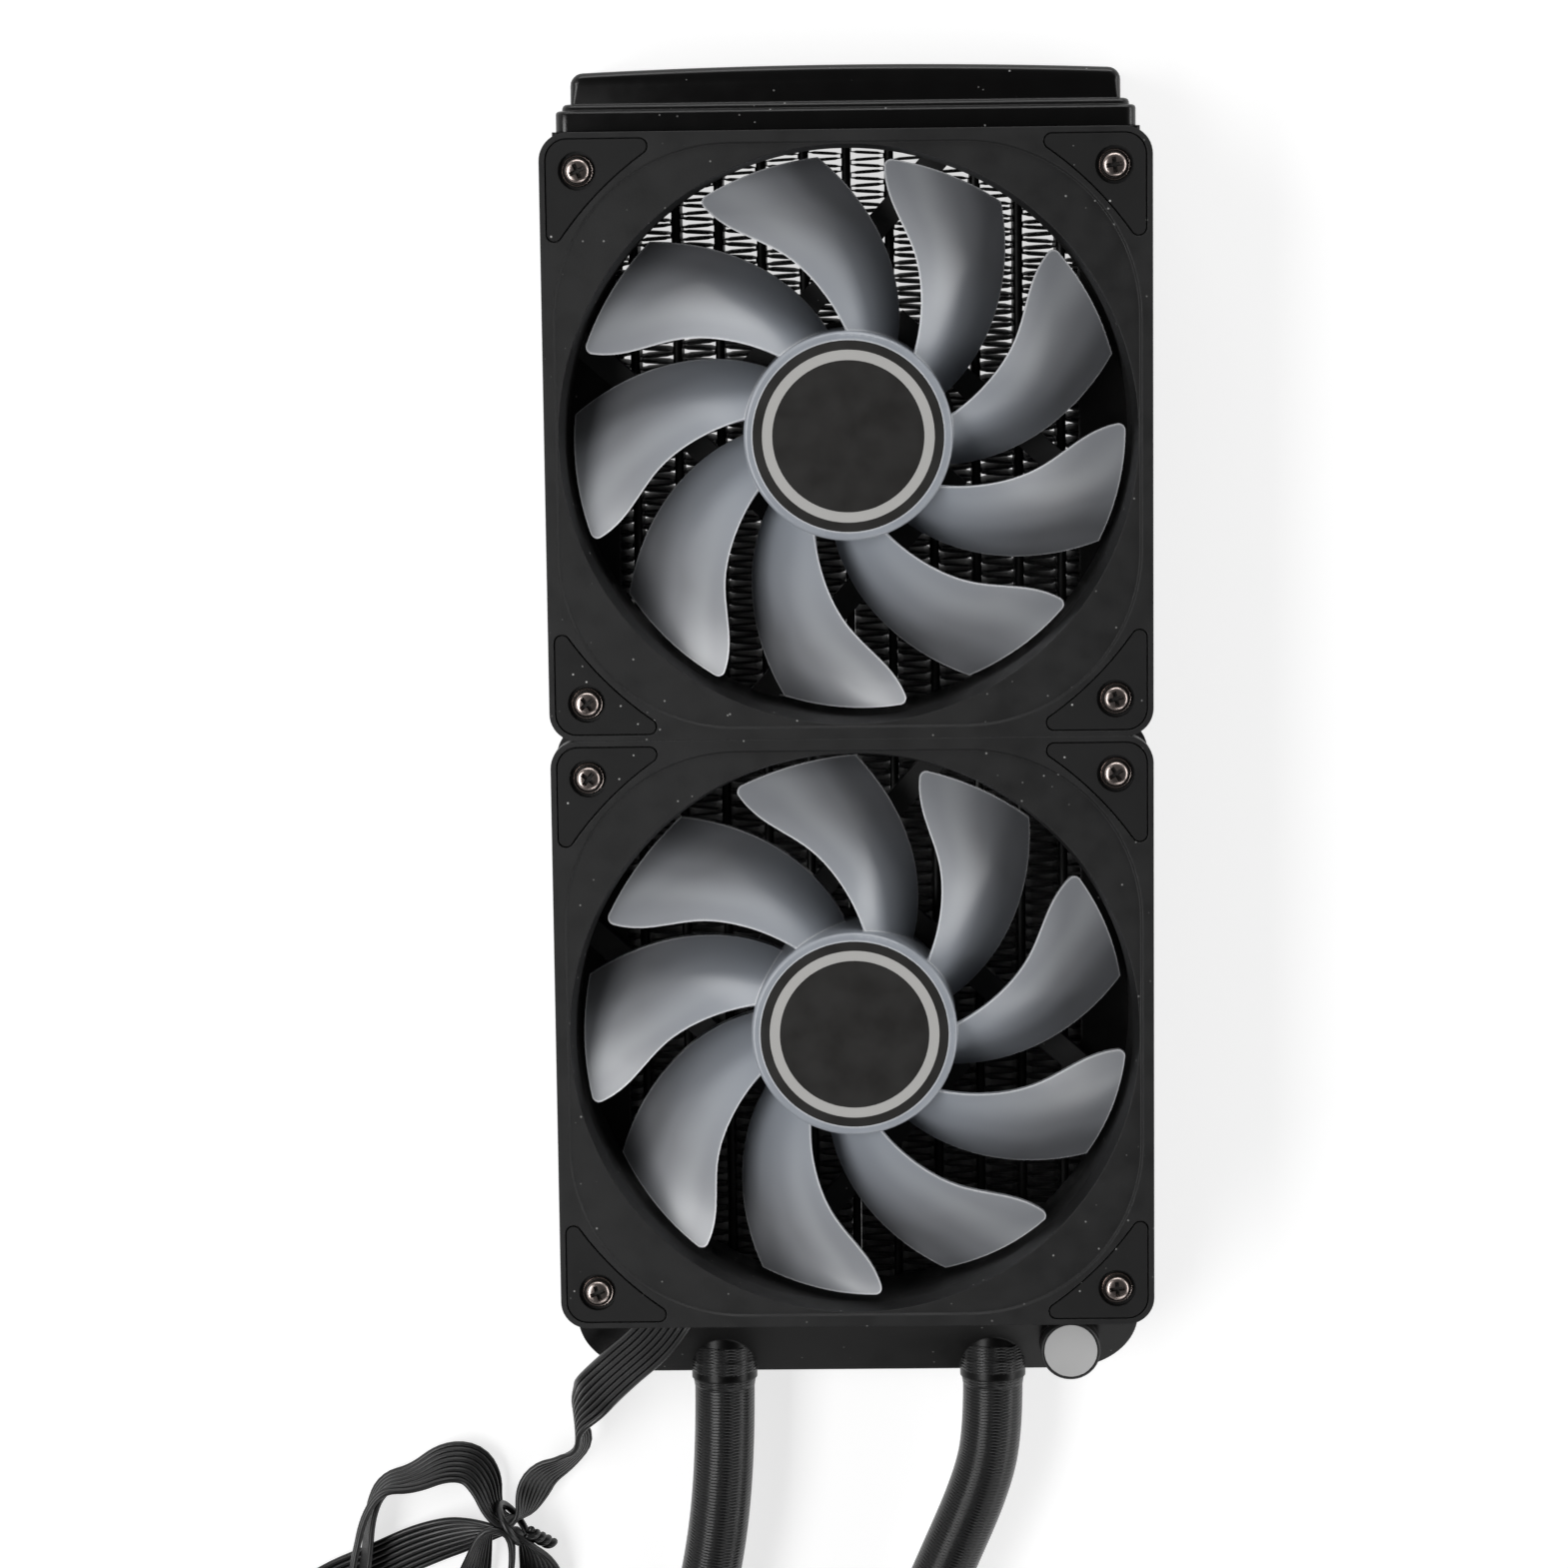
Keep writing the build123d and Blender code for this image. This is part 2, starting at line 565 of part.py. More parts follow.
def strut():
    """One of the straight struts that pass the hub to one side and end in the duct wall."""
    outward = sqrt((APERTURE_RADIUS + DUCT_WALL / 2) ** 2 - STRUT_OFFSET**2)
    overlap = sqrt(BASE_RADIUS**2 - (STRUT_OFFSET - STRUT_WIDTH / 2) ** 2)
    half = STRUT_WIDTH / 2
    beam = block((STRUT_OFFSET - half, STRUT_OFFSET + half), (-outward, overlap), (0, STRUT_THICKNESS))
    return Rot(0, 0, STRUT_ANGLE) * beam


def front_dish():
    """The shallow dish in the frame's front, a square with very round corners and a sloping edge."""
    outer = FAN_SIZE - 2 * DISH_RIM
    inner = outer - 2 * DISH_SLOPE
    rim = RectangleRounded(outer, outer, DISH_CORNER)
    floor = RectangleRounded(inner, inner, DISH_CORNER - DISH_SLOPE)
    slope = loft([Pos(0, 0, FAN_DEPTH - DISH_DEPTH) * floor, Pos(0, 0, FAN_DEPTH) * rim])
    return slope + Pos(0, 0, FAN_DEPTH) * extrude(rim, OVERCUT)


def fan_frame(with_cable_slot):
    """The square frame: two plates, round duct, screw posts, struts and motor base in one moulding."""
    plate = extrude(RectangleRounded(FAN_SIZE, FAN_SIZE, FAN_CORNER), FAN_FLANGE)
    body = plate + Pos(0, 0, FAN_DEPTH - FAN_FLANGE) * plate
    body += post(DUCT_RADIUS, 0, FAN_DEPTH)
    for x, y in CORNERS.values():
        body += post(POST_RADIUS, 0, FAN_DEPTH, x * HALF_SCREWS, y * HALF_SCREWS)
    body -= post(APERTURE_RADIUS, -OVERCUT, FAN_DEPTH + OVERCUT)
    body -= front_dish()
    flare = Cone(APERTURE_RADIUS, FLARE_RADIUS, FLARE_DEPTH, align=BOTTOM)
    body -= Pos(0, 0, FAN_DEPTH - DISH_DEPTH - FLARE_DEPTH) * flare
    pocket = extrude(pad_outline(PAD_GAP), PAD_THICKNESS + OVERCUT)
    for corner in CORNERS.values():
        body -= Pos(0, 0, FAN_DEPTH - PAD_THICKNESS) * pad_place(corner) * pocket
        hole_x = corner[0] * HALF_SCREWS
        hole_y = corner[1] * HALF_SCREWS
        body -= post(SCREW_RADIUS + SCREW_PLAY, -OVERCUT, FAN_DEPTH + OVERCUT, hole_x, hole_y)
    body += post(BASE_RADIUS, 0, STRUT_THICKNESS)
    for index in range(STRUT_COUNT):
        body += Rot(0, 0, index * 360 / STRUT_COUNT) * strut()
    tube_top = SHAFT_FOOT + BEARING_HEIGHT
    body += post(BEARING_TUBE_RADIUS, 0, tube_top)
    body -= post(BEARING_RADIUS + SEAT, STRUT_THICKNESS, tube_top + OVERCUT)
    if with_cable_slot:
        body -= cable_grommet(SEAT)
    return body


def cable_grommet(grow=0.0):
    """The grommet in the duct wall that the flat cable comes out of, in its fan's own frame."""
    middle = DUCT_RADIUS + GROMMET_LENGTH / 2 - DUCT_WALL
    height = CABLE_EXIT_HEIGHT - RADIATOR_DEPTH
    body = Box(GROMMET_LENGTH, GROMMET_WIDTH + 2 * grow, GROMMET_HEIGHT + 2 * grow)
    body = Rot(0, 0, CABLE_EXIT_ANGLE) * (Pos(middle, 0, height) * body)
    return body - post(APERTURE_RADIUS, 0, FAN_DEPTH)


def fan_screw(x, y):
    """A pan-head screw with a washer rim, through the frame into the channel."""
    under = RADIATOR_DEPTH + FAN_DEPTH - PAD_THICKNESS
    body = post(SCREW_RADIUS, RADIATOR_DEPTH - SCREW_BITE, under)
    body += post(SCREW_WASHER_RADIUS, under, under + SCREW_WASHER)
    dome = Cone(SCREW_DOME_RADIUS, SCREW_DOME_TOP_RADIUS, SCREW_DOME, align=BOTTOM)
    body += Pos(0, 0, under + SCREW_WASHER) * dome
    return Pos(x, y, 0) * body


def fan_screws(centre):
    """The four screws of one fan."""
    places = [(x * HALF_SCREWS, centre + y * HALF_SCREWS) for x, y in CORNERS.values()]
    return group([fan_screw(x, y) for x, y in places])


# Rotors


def leading_angle(radius):
    """Angle of a blade's front edge at a radius, counted from the blade's sharp tip."""
    depth = BLADE_TIP_RADIUS - radius
    return -TIP_SWEEP * min(depth, BLADE_BEND) - FRONT_SWEEP * max(depth - BLADE_BEND, 0)


def trailing_angle(radius):
    """Angle of a blade's back edge at a radius, counted from the blade's sharp tip."""
    return -BLADE_TIP_ANGLE - BACK_SWEEP * (BLADE_TIP_RADIUS - radius)


def blade_outline():
    """Front view of one blade: two swept edges between the hub wall and the round tip line."""
    root = HUB_RADIUS - HUB_WALL / 2
    bend = BLADE_TIP_RADIUS - BLADE_BEND
    radii = [root, (2 * root + bend) / 3, (root + 2 * bend) / 3, bend, BLADE_TIP_RADIUS]
    front = Spline(*[polar(r, leading_angle(r)) for r in radii])
    back = Spline(*[polar(r, trailing_angle(r)) for r in reversed(radii)])
    middle = (leading_angle(BLADE_TIP_RADIUS) + trailing_angle(BLADE_TIP_RADIUS)) / 2
    tip = ThreePointArc(front @ 1, polar(BLADE_TIP_RADIUS, middle), back @ 0)
    foot = (leading_angle(root) + trailing_angle(root)) / 2
    inner = ThreePointArc(back @ 1, polar(root, foot), front @ 0)
    face = make_face([front, tip, back, inner])
    sharp = face.vertices().sort_by_distance((*polar(BLADE_TIP_RADIUS, 0), 0))[0]
    return fillet(sharp, BLADE_TIP_CORNER)


def blade_section(distance):
    """Cross-section of a blade on an upright plane, at a distance out from the axis."""
    share = (distance - HUB_RADIUS) / (BLADE_TIP_RADIUS - HUB_RADIUS)
    radius = distance * EDGE_RATIO
    middle = (leading_angle(min(radius, BLADE_TIP_RADIUS)) + trailing_angle(radius)) / 2
    half_angle = (leading_angle(min(radius, BLADE_TIP_RADIUS)) - trailing_angle(radius)) / 2
    half = distance * tan(radians(half_angle))
    setback = BLADE_ROOT_SETBACK + (BLADE_TIP_SETBACK - BLADE_ROOT_SETBACK) * share
    front = FAN_DEPTH - setback - BLADE_THICKNESS
    back = BLADE_ROOT_BACK + (BLADE_TIP_BACK - BLADE_ROOT_BACK) * share
    rise = (front - back) / 2
    height = (front + back) / 2
    chord = hypot(half, rise)
    up = (-rise / chord, half / chord)
    start = (-half * SECTION_REACH, height - rise * SECTION_REACH)
    end = (half * SECTION_REACH, height + rise * SECTION_REACH)
    crown = (up[0] * BLADE_CAMBER, height + up[1] * BLADE_CAMBER)
    lift = (up[0] * BLADE_THICKNESS, up[1] * BLADE_THICKNESS)
    under = [start, crown, end]
    over = [(x + lift[0], z + lift[1]) for x, z in under]
    lower = ThreePointArc(*under)
    upper = ThreePointArc(*reversed(over))
    face = make_face([lower, Line(end, over[2]), upper, Line(over[0], start)])
    outward = Vector(*polar(1, middle), 0)
    sideways = Vector(*polar(1, middle + 90), 0)
    return Plane(origin=outward * distance, x_dir=sideways, z_dir=outward) * face


def rotor_blade():
    """One swept and twisted blade, its sharp tip at angle 0."""
    first = HUB_RADIUS - SECTION_SPARE
    span = BLADE_TIP_RADIUS + SECTION_SPARE - first
    distances = [first + span * step / (BLADE_SECTIONS - 1) for step in range(BLADE_SECTIONS)]
    sheet = loft([blade_section(distance) for distance in distances])
    prism = Pos(0, 0, STRUT_THICKNESS) * extrude(blade_outline(), HUB_TOP - STRUT_THICKNESS)
    return sheet & prism


def rotor_hub():
    """The cup that carries the blades, with a socket for the shaft inside its front."""
    body = post(HUB_RADIUS, HUB_FOOT, HUB_TOP)
    body = fillet(body.edges().sort_by(Axis.Z)[-1], HUB_EDGE)
    body -= post(HUB_BORE, HUB_FOOT - OVERCUT, HUB_INSIDE)
    body += post(BEARING_RADIUS, HUB_INSIDE - HUB_BOSS, HUB_INSIDE)
    body -= post(SHAFT_RADIUS + SEAT, HUB_INSIDE - HUB_BOSS - OVERCUT, HUB_INSIDE)
    body -= post(LABEL_RADIUS + SEAT, HUB_TOP - LABEL_THICKNESS, HUB_TOP + OVERCUT)
    return body


def fan_rotor(angle):
    """Hub and blades as one moulding."""
    blade = rotor_blade()
    step = 360 / BLADE_COUNT
    body = rotor_hub() + [Rot(0, 0, index * step) * blade for index in range(BLADE_COUNT)]
    return Rot(0, 0, angle) * body


def hub_label():
    """The round label on the hub's front."""
    return post(LABEL_RADIUS, HUB_TOP - LABEL_THICKNESS, HUB_TOP)


def magnet_ring():
    """The magnet glued inside the hub."""
    top = HUB_INSIDE - SEAT
    return ring(HUB_BORE - SEAT, MAGNET_BORE, top - MAGNET_HEIGHT, top)


def rotor_shaft():
    """The steel shaft, fixed in the hub and turning in the bearing."""
    return post(SHAFT_RADIUS, SHAFT_FOOT, HUB_INSIDE - SEAT)


def bearing():
    """The sleeve bearing in the frame's tube."""
    return ring(BEARING_RADIUS, SHAFT_RADIUS + RUNNING, STRUT_THICKNESS, SHAFT_FOOT + BEARING_HEIGHT)


def stator_span():
    """Lowest and highest point of the stator's iron."""
    low = STRUT_THICKNESS + BOARD_THICKNESS + COIL_THICKNESS + COIL_LIFT
    return low, low + STATOR_HEIGHT


def stator():
    """The iron star on the bearing tube, with a broad shoe on each pole."""
    low, high = stator_span()
    bore = BEARING_TUBE_RADIUS + SEAT
    outer = MAGNET_BORE - AIR_GAP
    body = ring(bore + STATOR_EYE, bore, low, high)
    shoes = ring(outer, outer - STATOR_SHOE, low, high)
    for index in range(STATOR_POLES):
        turn = Rot(0, 0, index * 360 / STATOR_POLES)
        half = STATOR_ARM / 2
        arm = block((bore + STATOR_EYE / 2, outer - STATOR_SHOE / 2), (-half, half), (low, high))
        body += turn * arm
        past = (low - OVERCUT, high + OVERCUT)
        gap = block((0, outer + OVERCUT), (-SHOE_GAP / 2, SHOE_GAP / 2), past)
        shoes -= Rot(0, 0, 180 / STATOR_POLES) * turn * gap
    return body + shoes


def coils():
    """The windings, one round each pole of the stator."""
    low, high = stator_span()
    inner = BEARING_TUBE_RADIUS + SEAT + STATOR_EYE + COIL_FOOT
    outer = MAGNET_BORE - AIR_GAP - STATOR_SHOE - COIL_SPARE
    half = STATOR_ARM / 2 + SEAT
    wound = half + COIL_THICKNESS
    span = (low - SEAT - COIL_THICKNESS, high + SEAT + COIL_THICKNESS)
    coil = block((inner, outer), (-wound, wound), span)
    coil -= block((inner - OVERCUT, outer + OVERCUT), (-half, half), (low - SEAT, high + SEAT))
    return group([Rot(0, 0, index * 360 / STATOR_POLES) * coil for index in range(STATOR_POLES)])


def circuit_board():
    """The round board on the motor base."""
    top = STRUT_THICKNESS + BOARD_THICKNESS
    return ring(BOARD_RADIUS, BEARING_TUBE_RADIUS + SEAT, STRUT_THICKNESS, top)


# Pump block, built round its own centre with the cold plate's face at height 0


def coolant_top():
    """Height of the roof over the cold plate's fins."""
    return PLATE_THICKNESS + COOLANT_HEIGHT


def impeller_floor():
    """Height of the floor of the impeller's chamber."""
    return coolant_top() + FLOOR_WALL


def rotor_can_floor():
    """Height where the impeller's chamber narrows to the motor can."""
    return impeller_floor() + 2 * IMPELLER_GAP + IMPELLER_DISC + VANE_HEIGHT


def rotor_can_top():
    """Height of the inside top of the motor can."""
    return rotor_can_floor() + PUMP_MAGNET_HEIGHT + IMPELLER_GAP


def pump_board_floor():
    """Height of the underside of the circuit board, on the closed top of the motor can."""
    return rotor_can_top() + CAN_WALL + SHAFT_SOCKET


def housing_top():
    """Height where the housing ends and the cover begins."""
    return pump_board_floor() + BOARD_THICKNESS + PUMP_BOARD_SPACE


def cold_plate():
    """The copper plate with fine fins on its wet side and four countersunk holes."""
    body = extrude(RectangleRounded(PLATE_SIZE, PLATE_SIZE, PLATE_CORNER), PLATE_THICKNESS)
    pitch = MICRO_FIN_AREA / MICRO_FIN_COUNT
    for index in range(MICRO_FIN_COUNT):
        x = (index - (MICRO_FIN_COUNT - 1) / 2) * pitch
        half = MICRO_FIN_WALL / 2
        length = MICRO_FIN_AREA / 2
        span = (PLATE_THICKNESS - MICRO_FIN_ROOT, PLATE_THICKNESS + MICRO_FIN_HEIGHT)
        body += block((x - half, x + half), (-length, length), span)
    for x, y in CORNERS.values():
        body -= plate_screw(x * PLATE_SCREW_PLACE, y * PLATE_SCREW_PLACE, SEAT)
    return body


def plate_screw(x, y, grow=0.0):
    """A countersunk screw up through the cold plate, or the hole for it."""
    head = Cone(PLATE_SCREW_HEAD + grow, PLATE_SCREW_RADIUS + grow, PLATE_SCREW_SINK, align=BOTTOM)
    shank = post(PLATE_SCREW_RADIUS + grow, 0, PLATE_SCREW_LENGTH + grow)
    return Pos(x, y, 0) * (head + shank)


def cold_plate_screws():
    """The four screws that hold the cold plate."""
    place = PLATE_SCREW_PLACE
    return group([plate_screw(x * place, y * place) for x, y in CORNERS.values()])


def pump_neck(side, radius):
    """One of the pump's necks, or the bore in it: a round bar from beside the motor to its mouth."""
    length = PUMP_RADIUS + PUMP_NECK - PUMP_STATOR_RADIUS
    bar = Rot(-90, 0, 0) * Cylinder(radius, length, align=BOTTOM)
    return Pos(side * PUMP_PORT_SPACING / 2, PUMP_STATOR_RADIUS, PUMP_PORT_HEIGHT) * bar


def pump_housing():
    """The moulded body with its chambers, motor can and two necks."""
    body = post(PUMP_FOOT_RADIUS, PLATE_THICKNESS, PLATE_THICKNESS + PUMP_FOOT)
    body += post(PUMP_RADIUS, PLATE_THICKNESS, housing_top())
    for side in (-1, 1):
        body += pump_neck(side, NECK_DIAMETER / 2)
    body -= post(COOLANT_RADIUS, 0, coolant_top())
    body -= post(STEM_RADIUS + STEM_PLAY, 0, impeller_floor() + OVERCUT)
    body -= post(IMPELLER_RADIUS + IMPELLER_GAP, impeller_floor(), rotor_can_floor())
    body -= post(PUMP_MAGNET_RADIUS + CAN_GAP, impeller_floor(), rotor_can_top())
    floor = rotor_can_floor() + CAN_WALL
    above = housing_top() + OVERCUT
    body -= ring(PUMP_STATOR_RADIUS + SEAT, CAN_RADIUS, floor, above)
    body -= post(PUMP_STATOR_RADIUS + SEAT, pump_board_floor(), above)
    body -= post(PUMP_SHAFT_RADIUS + SEAT, rotor_can_top() - OVERCUT, rotor_can_top() + SHAFT_SOCKET)
    body -= ring(SEAL_RADIUS + SEAL_WIDTH, SEAL_RADIUS, 0, PLATE_THICKNESS + SEAL_HEIGHT)
    for side in (-1, 1):
        body -= pump_neck(side, BARB_RADIUS + SEAT)
    place = PLATE_SCREW_PLACE
    for x, y in CORNERS.values():
        screw_top = PLATE_SCREW_LENGTH + PLATE_SCREW_SPARE
        body -= post(PLATE_SCREW_RADIUS + SEAT, 0, screw_top, x * place, y * place)
    return body


def pump_cover():
    """The cap over the motor, a shallow cup with a bevelled rim."""
    top = housing_top() + PUMP_COVER_HEIGHT
    body = post(PUMP_RADIUS, housing_top(), top)
    body = chamfer(body.edges().sort_by(Axis.Z)[-1], PUMP_COVER_CHAMFER)
    inner = PUMP_RADIUS - PUMP_COVER_CHAMFER - PUMP_WALL / 2
    return body - post(inner, housing_top() - OVERCUT, top - PUMP_WALL)


def pump_seal():
    """The soft ring between housing and cold plate."""
    ring_outer = SEAL_RADIUS + SEAL_WIDTH - SEAT
    return ring(ring_outer, SEAL_RADIUS + SEAT, PLATE_THICKNESS, PLATE_THICKNESS + SEAL_HEIGHT - SEAT)


def vane():
    """One curved vane of the impeller."""
    start = Vector(STEM_RADIUS - VANE_ROOT, 0)
    end = Vector(*polar(IMPELLER_RADIUS - VANE_TIP_GAP, VANE_SWEEP))
    middle = Vector(*polar(VANE_BEND_RADIUS, VANE_BEND_ANGLE))
    path = ThreePointArc(start, middle, end)
    return extrude(trace(path, VANE_WALL), VANE_HEIGHT)


def impeller():
    """The impeller: disc, curved vanes and the stem that carries the magnet."""
    low = impeller_floor() + IMPELLER_GAP
    body = post(IMPELLER_RADIUS, low + VANE_HEIGHT, low + VANE_HEIGHT + IMPELLER_DISC)
    for index in range(IMPELLER_VANES):
        body += Pos(0, 0, low) * Rot(0, 0, index * 360 / IMPELLER_VANES) * vane()
    body += post(STEM_RADIUS, low, rotor_can_top() - IMPELLER_GAP)
    return body - post(PUMP_SHAFT_RADIUS + RUNNING, 0, housing_top())


def impeller_magnet():
    """The magnet ring pressed on the impeller's stem."""
    low = impeller_floor() + IMPELLER_GAP + VANE_HEIGHT + IMPELLER_DISC + SEAT
    return ring(PUMP_MAGNET_RADIUS, STEM_RADIUS + SEAT, low, rotor_can_top() - IMPELLER_GAP)


def pump_shaft():
    """The fixed shaft that the impeller turns on."""
    low = impeller_floor() + IMPELLER_GAP
    return post(PUMP_SHAFT_RADIUS, low, rotor_can_top() + SHAFT_SOCKET - SEAT)


def pump_stator():
    """The iron ring round the motor can, its poles pointing inwards."""
    low = rotor_can_floor() + CAN_WALL
    high = low + PUMP_STATOR_HEIGHT
    rim = PUMP_STATOR_RADIUS - PUMP_STATOR_RIM
    body = ring(PUMP_STATOR_RADIUS, rim, low, high)
    for index in range(PUMP_POLES):
        half = PUMP_POLE_ARM / 2
        arm = block((CAN_RADIUS + PUMP_POLE_GAP, rim + PUMP_STATOR_RIM / 2), (-half, half), (low, high))
        body += Rot(0, 0, index * 360 / PUMP_POLES) * arm
    return body


def pump_board():
    """The pump's round circuit board, on the motor can."""
    low = pump_board_floor()
    return post(PUMP_STATOR_RADIUS - PUMP_BOARD_PLAY, low, low + BOARD_THICKNESS)


def mounting_bracket():
    """The steel ring with four ears that clamps the pump to the processor's socket."""
    low = PLATE_THICKNESS + PUMP_FOOT
    inner = PUMP_RADIUS + BRACKET_PLAY
    half = BRACKET_HOLE_SPACING / 2
    plan = Circle(inner + BRACKET_RIM)
    for x, y in CORNERS.values():
        plan += Pos(x * half, y * half) * Circle(BRACKET_EAR_RADIUS)
        arm = Rectangle(hypot(half, half), 2 * BRACKET_EAR_RADIUS, align=(Align.MIN, Align.CENTER))
        plan += Rot(0, 0, degrees(atan2(y, x))) * arm
    plan -= Circle(inner)
    for x, y in CORNERS.values():
        plan -= Pos(x * half, y * half) * Circle(BRACKET_HOLE_RADIUS)
    return Pos(0, 0, low) * extrude(plan, BRACKET_THICKNESS)


# Hoses and the fan cable


def bend_radii(points):
    """The bend radius at each corner of a route, as large as its two runs allow."""
    spots = [Vector(*point) for point in points]
    radii = []
    for before, here, after in zip(spots, spots[1:], spots[2:]):
        turn = radians((here - before).get_angle(after - here))
        shorter = min((here - before).length, (after - here).length)
        radii.append(BEND_SHARE * shorter / tan(turn / 2))
    return radii


def cord_tube(name, points, diameter):
    """A plain tube along a route, and a printed line with its length and bend radii."""
    radii = bend_radii(points)
    path = FilletPolyline(*points, radius=radii)
    tube = sweep(Plane(origin=path @ 0, z_dir=path % 0) * Circle(diameter / 2), path=path)
    section = Circle(diameter / 2).area
    print(name, "length", round(path.length, 1), "radii", [round(radius) for radius in radii])
    print(name, "volume", round(tube.volume), "section by length", round(section * path.length))
    return tube


def hose(name, points):
    """A hose with a blind bore at each end for the barb that it is pushed on."""
    body = cord_tube(name, points, HOSE_DIAMETER)
    bore = Cylinder(BARB_RADIUS + BARB_RIDGE + RUNNING, BARB_REACH + OVERCUT, align=BOTTOM)
    first = points[0]
    last = points[-1]
    body -= Pos(*first) * Rot(90, 0, 0) * bore
    return body - Pos(*last) * Rot(-90, 0, 0) * bore


def cable_hank():
    """Outer shape of the tied hank of flat cable, with its neck and the end that goes to the plug."""
    outline = make_face(Spline(*HANK_OUTLINE, periodic=True))
    body = extrude(outline, HANK_HEIGHT)
    lead_x, lead_y = PLUG_BODY_AT
    half = LEAD_WIDTH / 2
    body += block((lead_x - half, lead_x + half), (lead_y, lead_y + LEAD_LENGTH), (0, LEAD_HEIGHT))
    size = (HANK_NECK_LENGTH, HANK_NECK_WIDTH, HANK_NECK_HEIGHT)
    neck = Box(*size, align=(Align.MIN, Align.CENTER, Align.MIN))
    return body + Pos(CABLE_END[0], CABLE_END[1], 0) * Rot(0, 0, HANK_DIRECTION) * neck


def cable_tie():
    """The wire tie round the hank's neck, with its twisted end."""
    width = HANK_NECK_WIDTH + 2 * SEAT
    height = HANK_NECK_HEIGHT + SEAT
    outer_size = (TIE_WIDTH, width + 2 * TIE_THICKNESS, height + TIE_THICKNESS)
    outer = Box(*outer_size, align=BOTTOM)
    inner = Box(TIE_WIDTH + OVERCUT, width, height, align=BOTTOM)
    tail = Rot(-90, 0, 0) * Cylinder(TIE_TAIL_RADIUS, TIE_TAIL_LENGTH, align=BOTTOM)
    body = outer - inner + Pos(0, width / 2 + TIE_THICKNESS / 2, height / 2) * tail
    body = Pos(TIE_SETBACK, 0, 0) * body
    return Pos(CABLE_END[0], CABLE_END[1], 0) * Rot(0, 0, HANK_DIRECTION) * body


def cable_plug():
    """The plug on the cable's end, with its row of sockets."""
    x, y = PLUG_BODY_AT
    body = Box(PLUG_BODY_WIDTH, PLUG_BODY_LENGTH, PLUG_BODY_HEIGHT, align=(Align.CENTER, Align.MAX, Align.MIN))
    for index in range(PLUG_SOCKETS):
        offset_x = (index - (PLUG_SOCKETS - 1) / 2) * PLUG_SOCKET_PITCH
        socket = Box(PLUG_SOCKET_SIZE, 2 * PLUG_SOCKET_DEPTH, PLUG_SOCKET_SIZE)
        body -= Pos(offset_x, -PLUG_BODY_LENGTH, PLUG_BODY_HEIGHT / 2) * socket
    return Pos(x, y, 0) * body


def write(name, shape):
    """Writes one piece to its own file."""
    export_step(shape, f"parts/{name}.step")


def write_radiator():
    """Writes the radiator's pieces."""
    write("core_tubes", core_tubes())
    write("core_fins", core_fins())
    for side, name in ((-1, "left"), (1, "right")):
        write(f"side_channel_{name}", side_channel(side))
    write("header_plate_top", header_plate(1))
    write("header_plate_bottom", header_plate(-1))
    write("plain_end_tank", plain_end_tank())
    write("port_end_tank", port_end_tank())
    for side, name in ((-1, "left"), (1, "right")):
        x = side * PORT_SPACING / 2
        write(f"radiator_barb_{name}", hose_barb(x, -NECK_END, MID_DEPTH, -1))
    write("fill_plug", fill_plug())
    write("fill_plug_seal", fill_plug_seal())


def write_fan(name):
    """Writes the pieces of one fan."""
    place = Pos(0, FAN_CENTRES[name], RADIATOR_DEPTH)
    write(f"{name}_fan_frame", place * fan_frame(name == "lower"))
    for corner, signs in CORNERS.items():
        write(f"{name}_pad_{corner}", place * corner_pad(signs))
    write(f"{name}_fan_screws", fan_screws(FAN_CENTRES[name]))
    write(f"{name}_fan_rotor", place * fan_rotor(ROTOR_ANGLES[name]))
    write(f"{name}_hub_label", place * hub_label())
    write(f"{name}_magnet_ring", place * magnet_ring())
    write(f"{name}_rotor_shaft", place * rotor_shaft())
    write(f"{name}_bearing", place * bearing())
    write(f"{name}_stator", place * stator())
    write(f"{name}_coils", place * coils())
    write(f"{name}_circuit_board", place * circuit_board())


def write_pump():
    """Writes the pump block's pieces."""
    place = Pos(PUMP_X, PUMP_Y, 0)
    write("cold_plate", place * cold_plate())
    write("cold_plate_screws", place * cold_plate_screws())
    write("pump_housing", place * pump_housing())
    write("pump_cover", place * pump_cover())
    write("pump_seal", place * pump_seal())
    write("pump_impeller", place * impeller())
    write("impeller_magnet", place * impeller_magnet())
    write("pump_shaft", place * pump_shaft())
    write("pump_stator", place * pump_stator())
    write("pump_circuit_board", place * pump_board())
    write("mounting_bracket", place * mounting_bracket())
    for side, name in ((-1, "left"), (1, "right")):
        x = side * PUMP_PORT_SPACING / 2
        write(f"pump_barb_{name}", place * hose_barb(x, PUMP_RADIUS + PUMP_NECK, PUMP_PORT_HEIGHT, 1))


def write_cords():
    """Writes the hoses and the fan cable with what is on it."""
    write("hose_left", hose("hose_left", LEFT_HOSE_ROUTE))
    write("hose_right", hose("hose_right", RIGHT_HOSE_ROUTE))
    write("fan_cable", cord_tube("fan_cable", CABLE_ROUTE, CABLE_TUBE_DIAMETER))
    write("fan_cable_grommet", Pos(0, FAN_CENTRES["lower"], RADIATOR_DEPTH) * cable_grommet())
    write("cable_hank", cable_hank())
    write("cable_tie", cable_tie())
    write("cable_plug", cable_plug())


def main():
    """Writes every piece of the cooler."""
    os.makedirs("parts", exist_ok=True)
    write_radiator()
    for name in FAN_CENTRES:
        write_fan(name)
    write_pump()
    write_cords()


main()
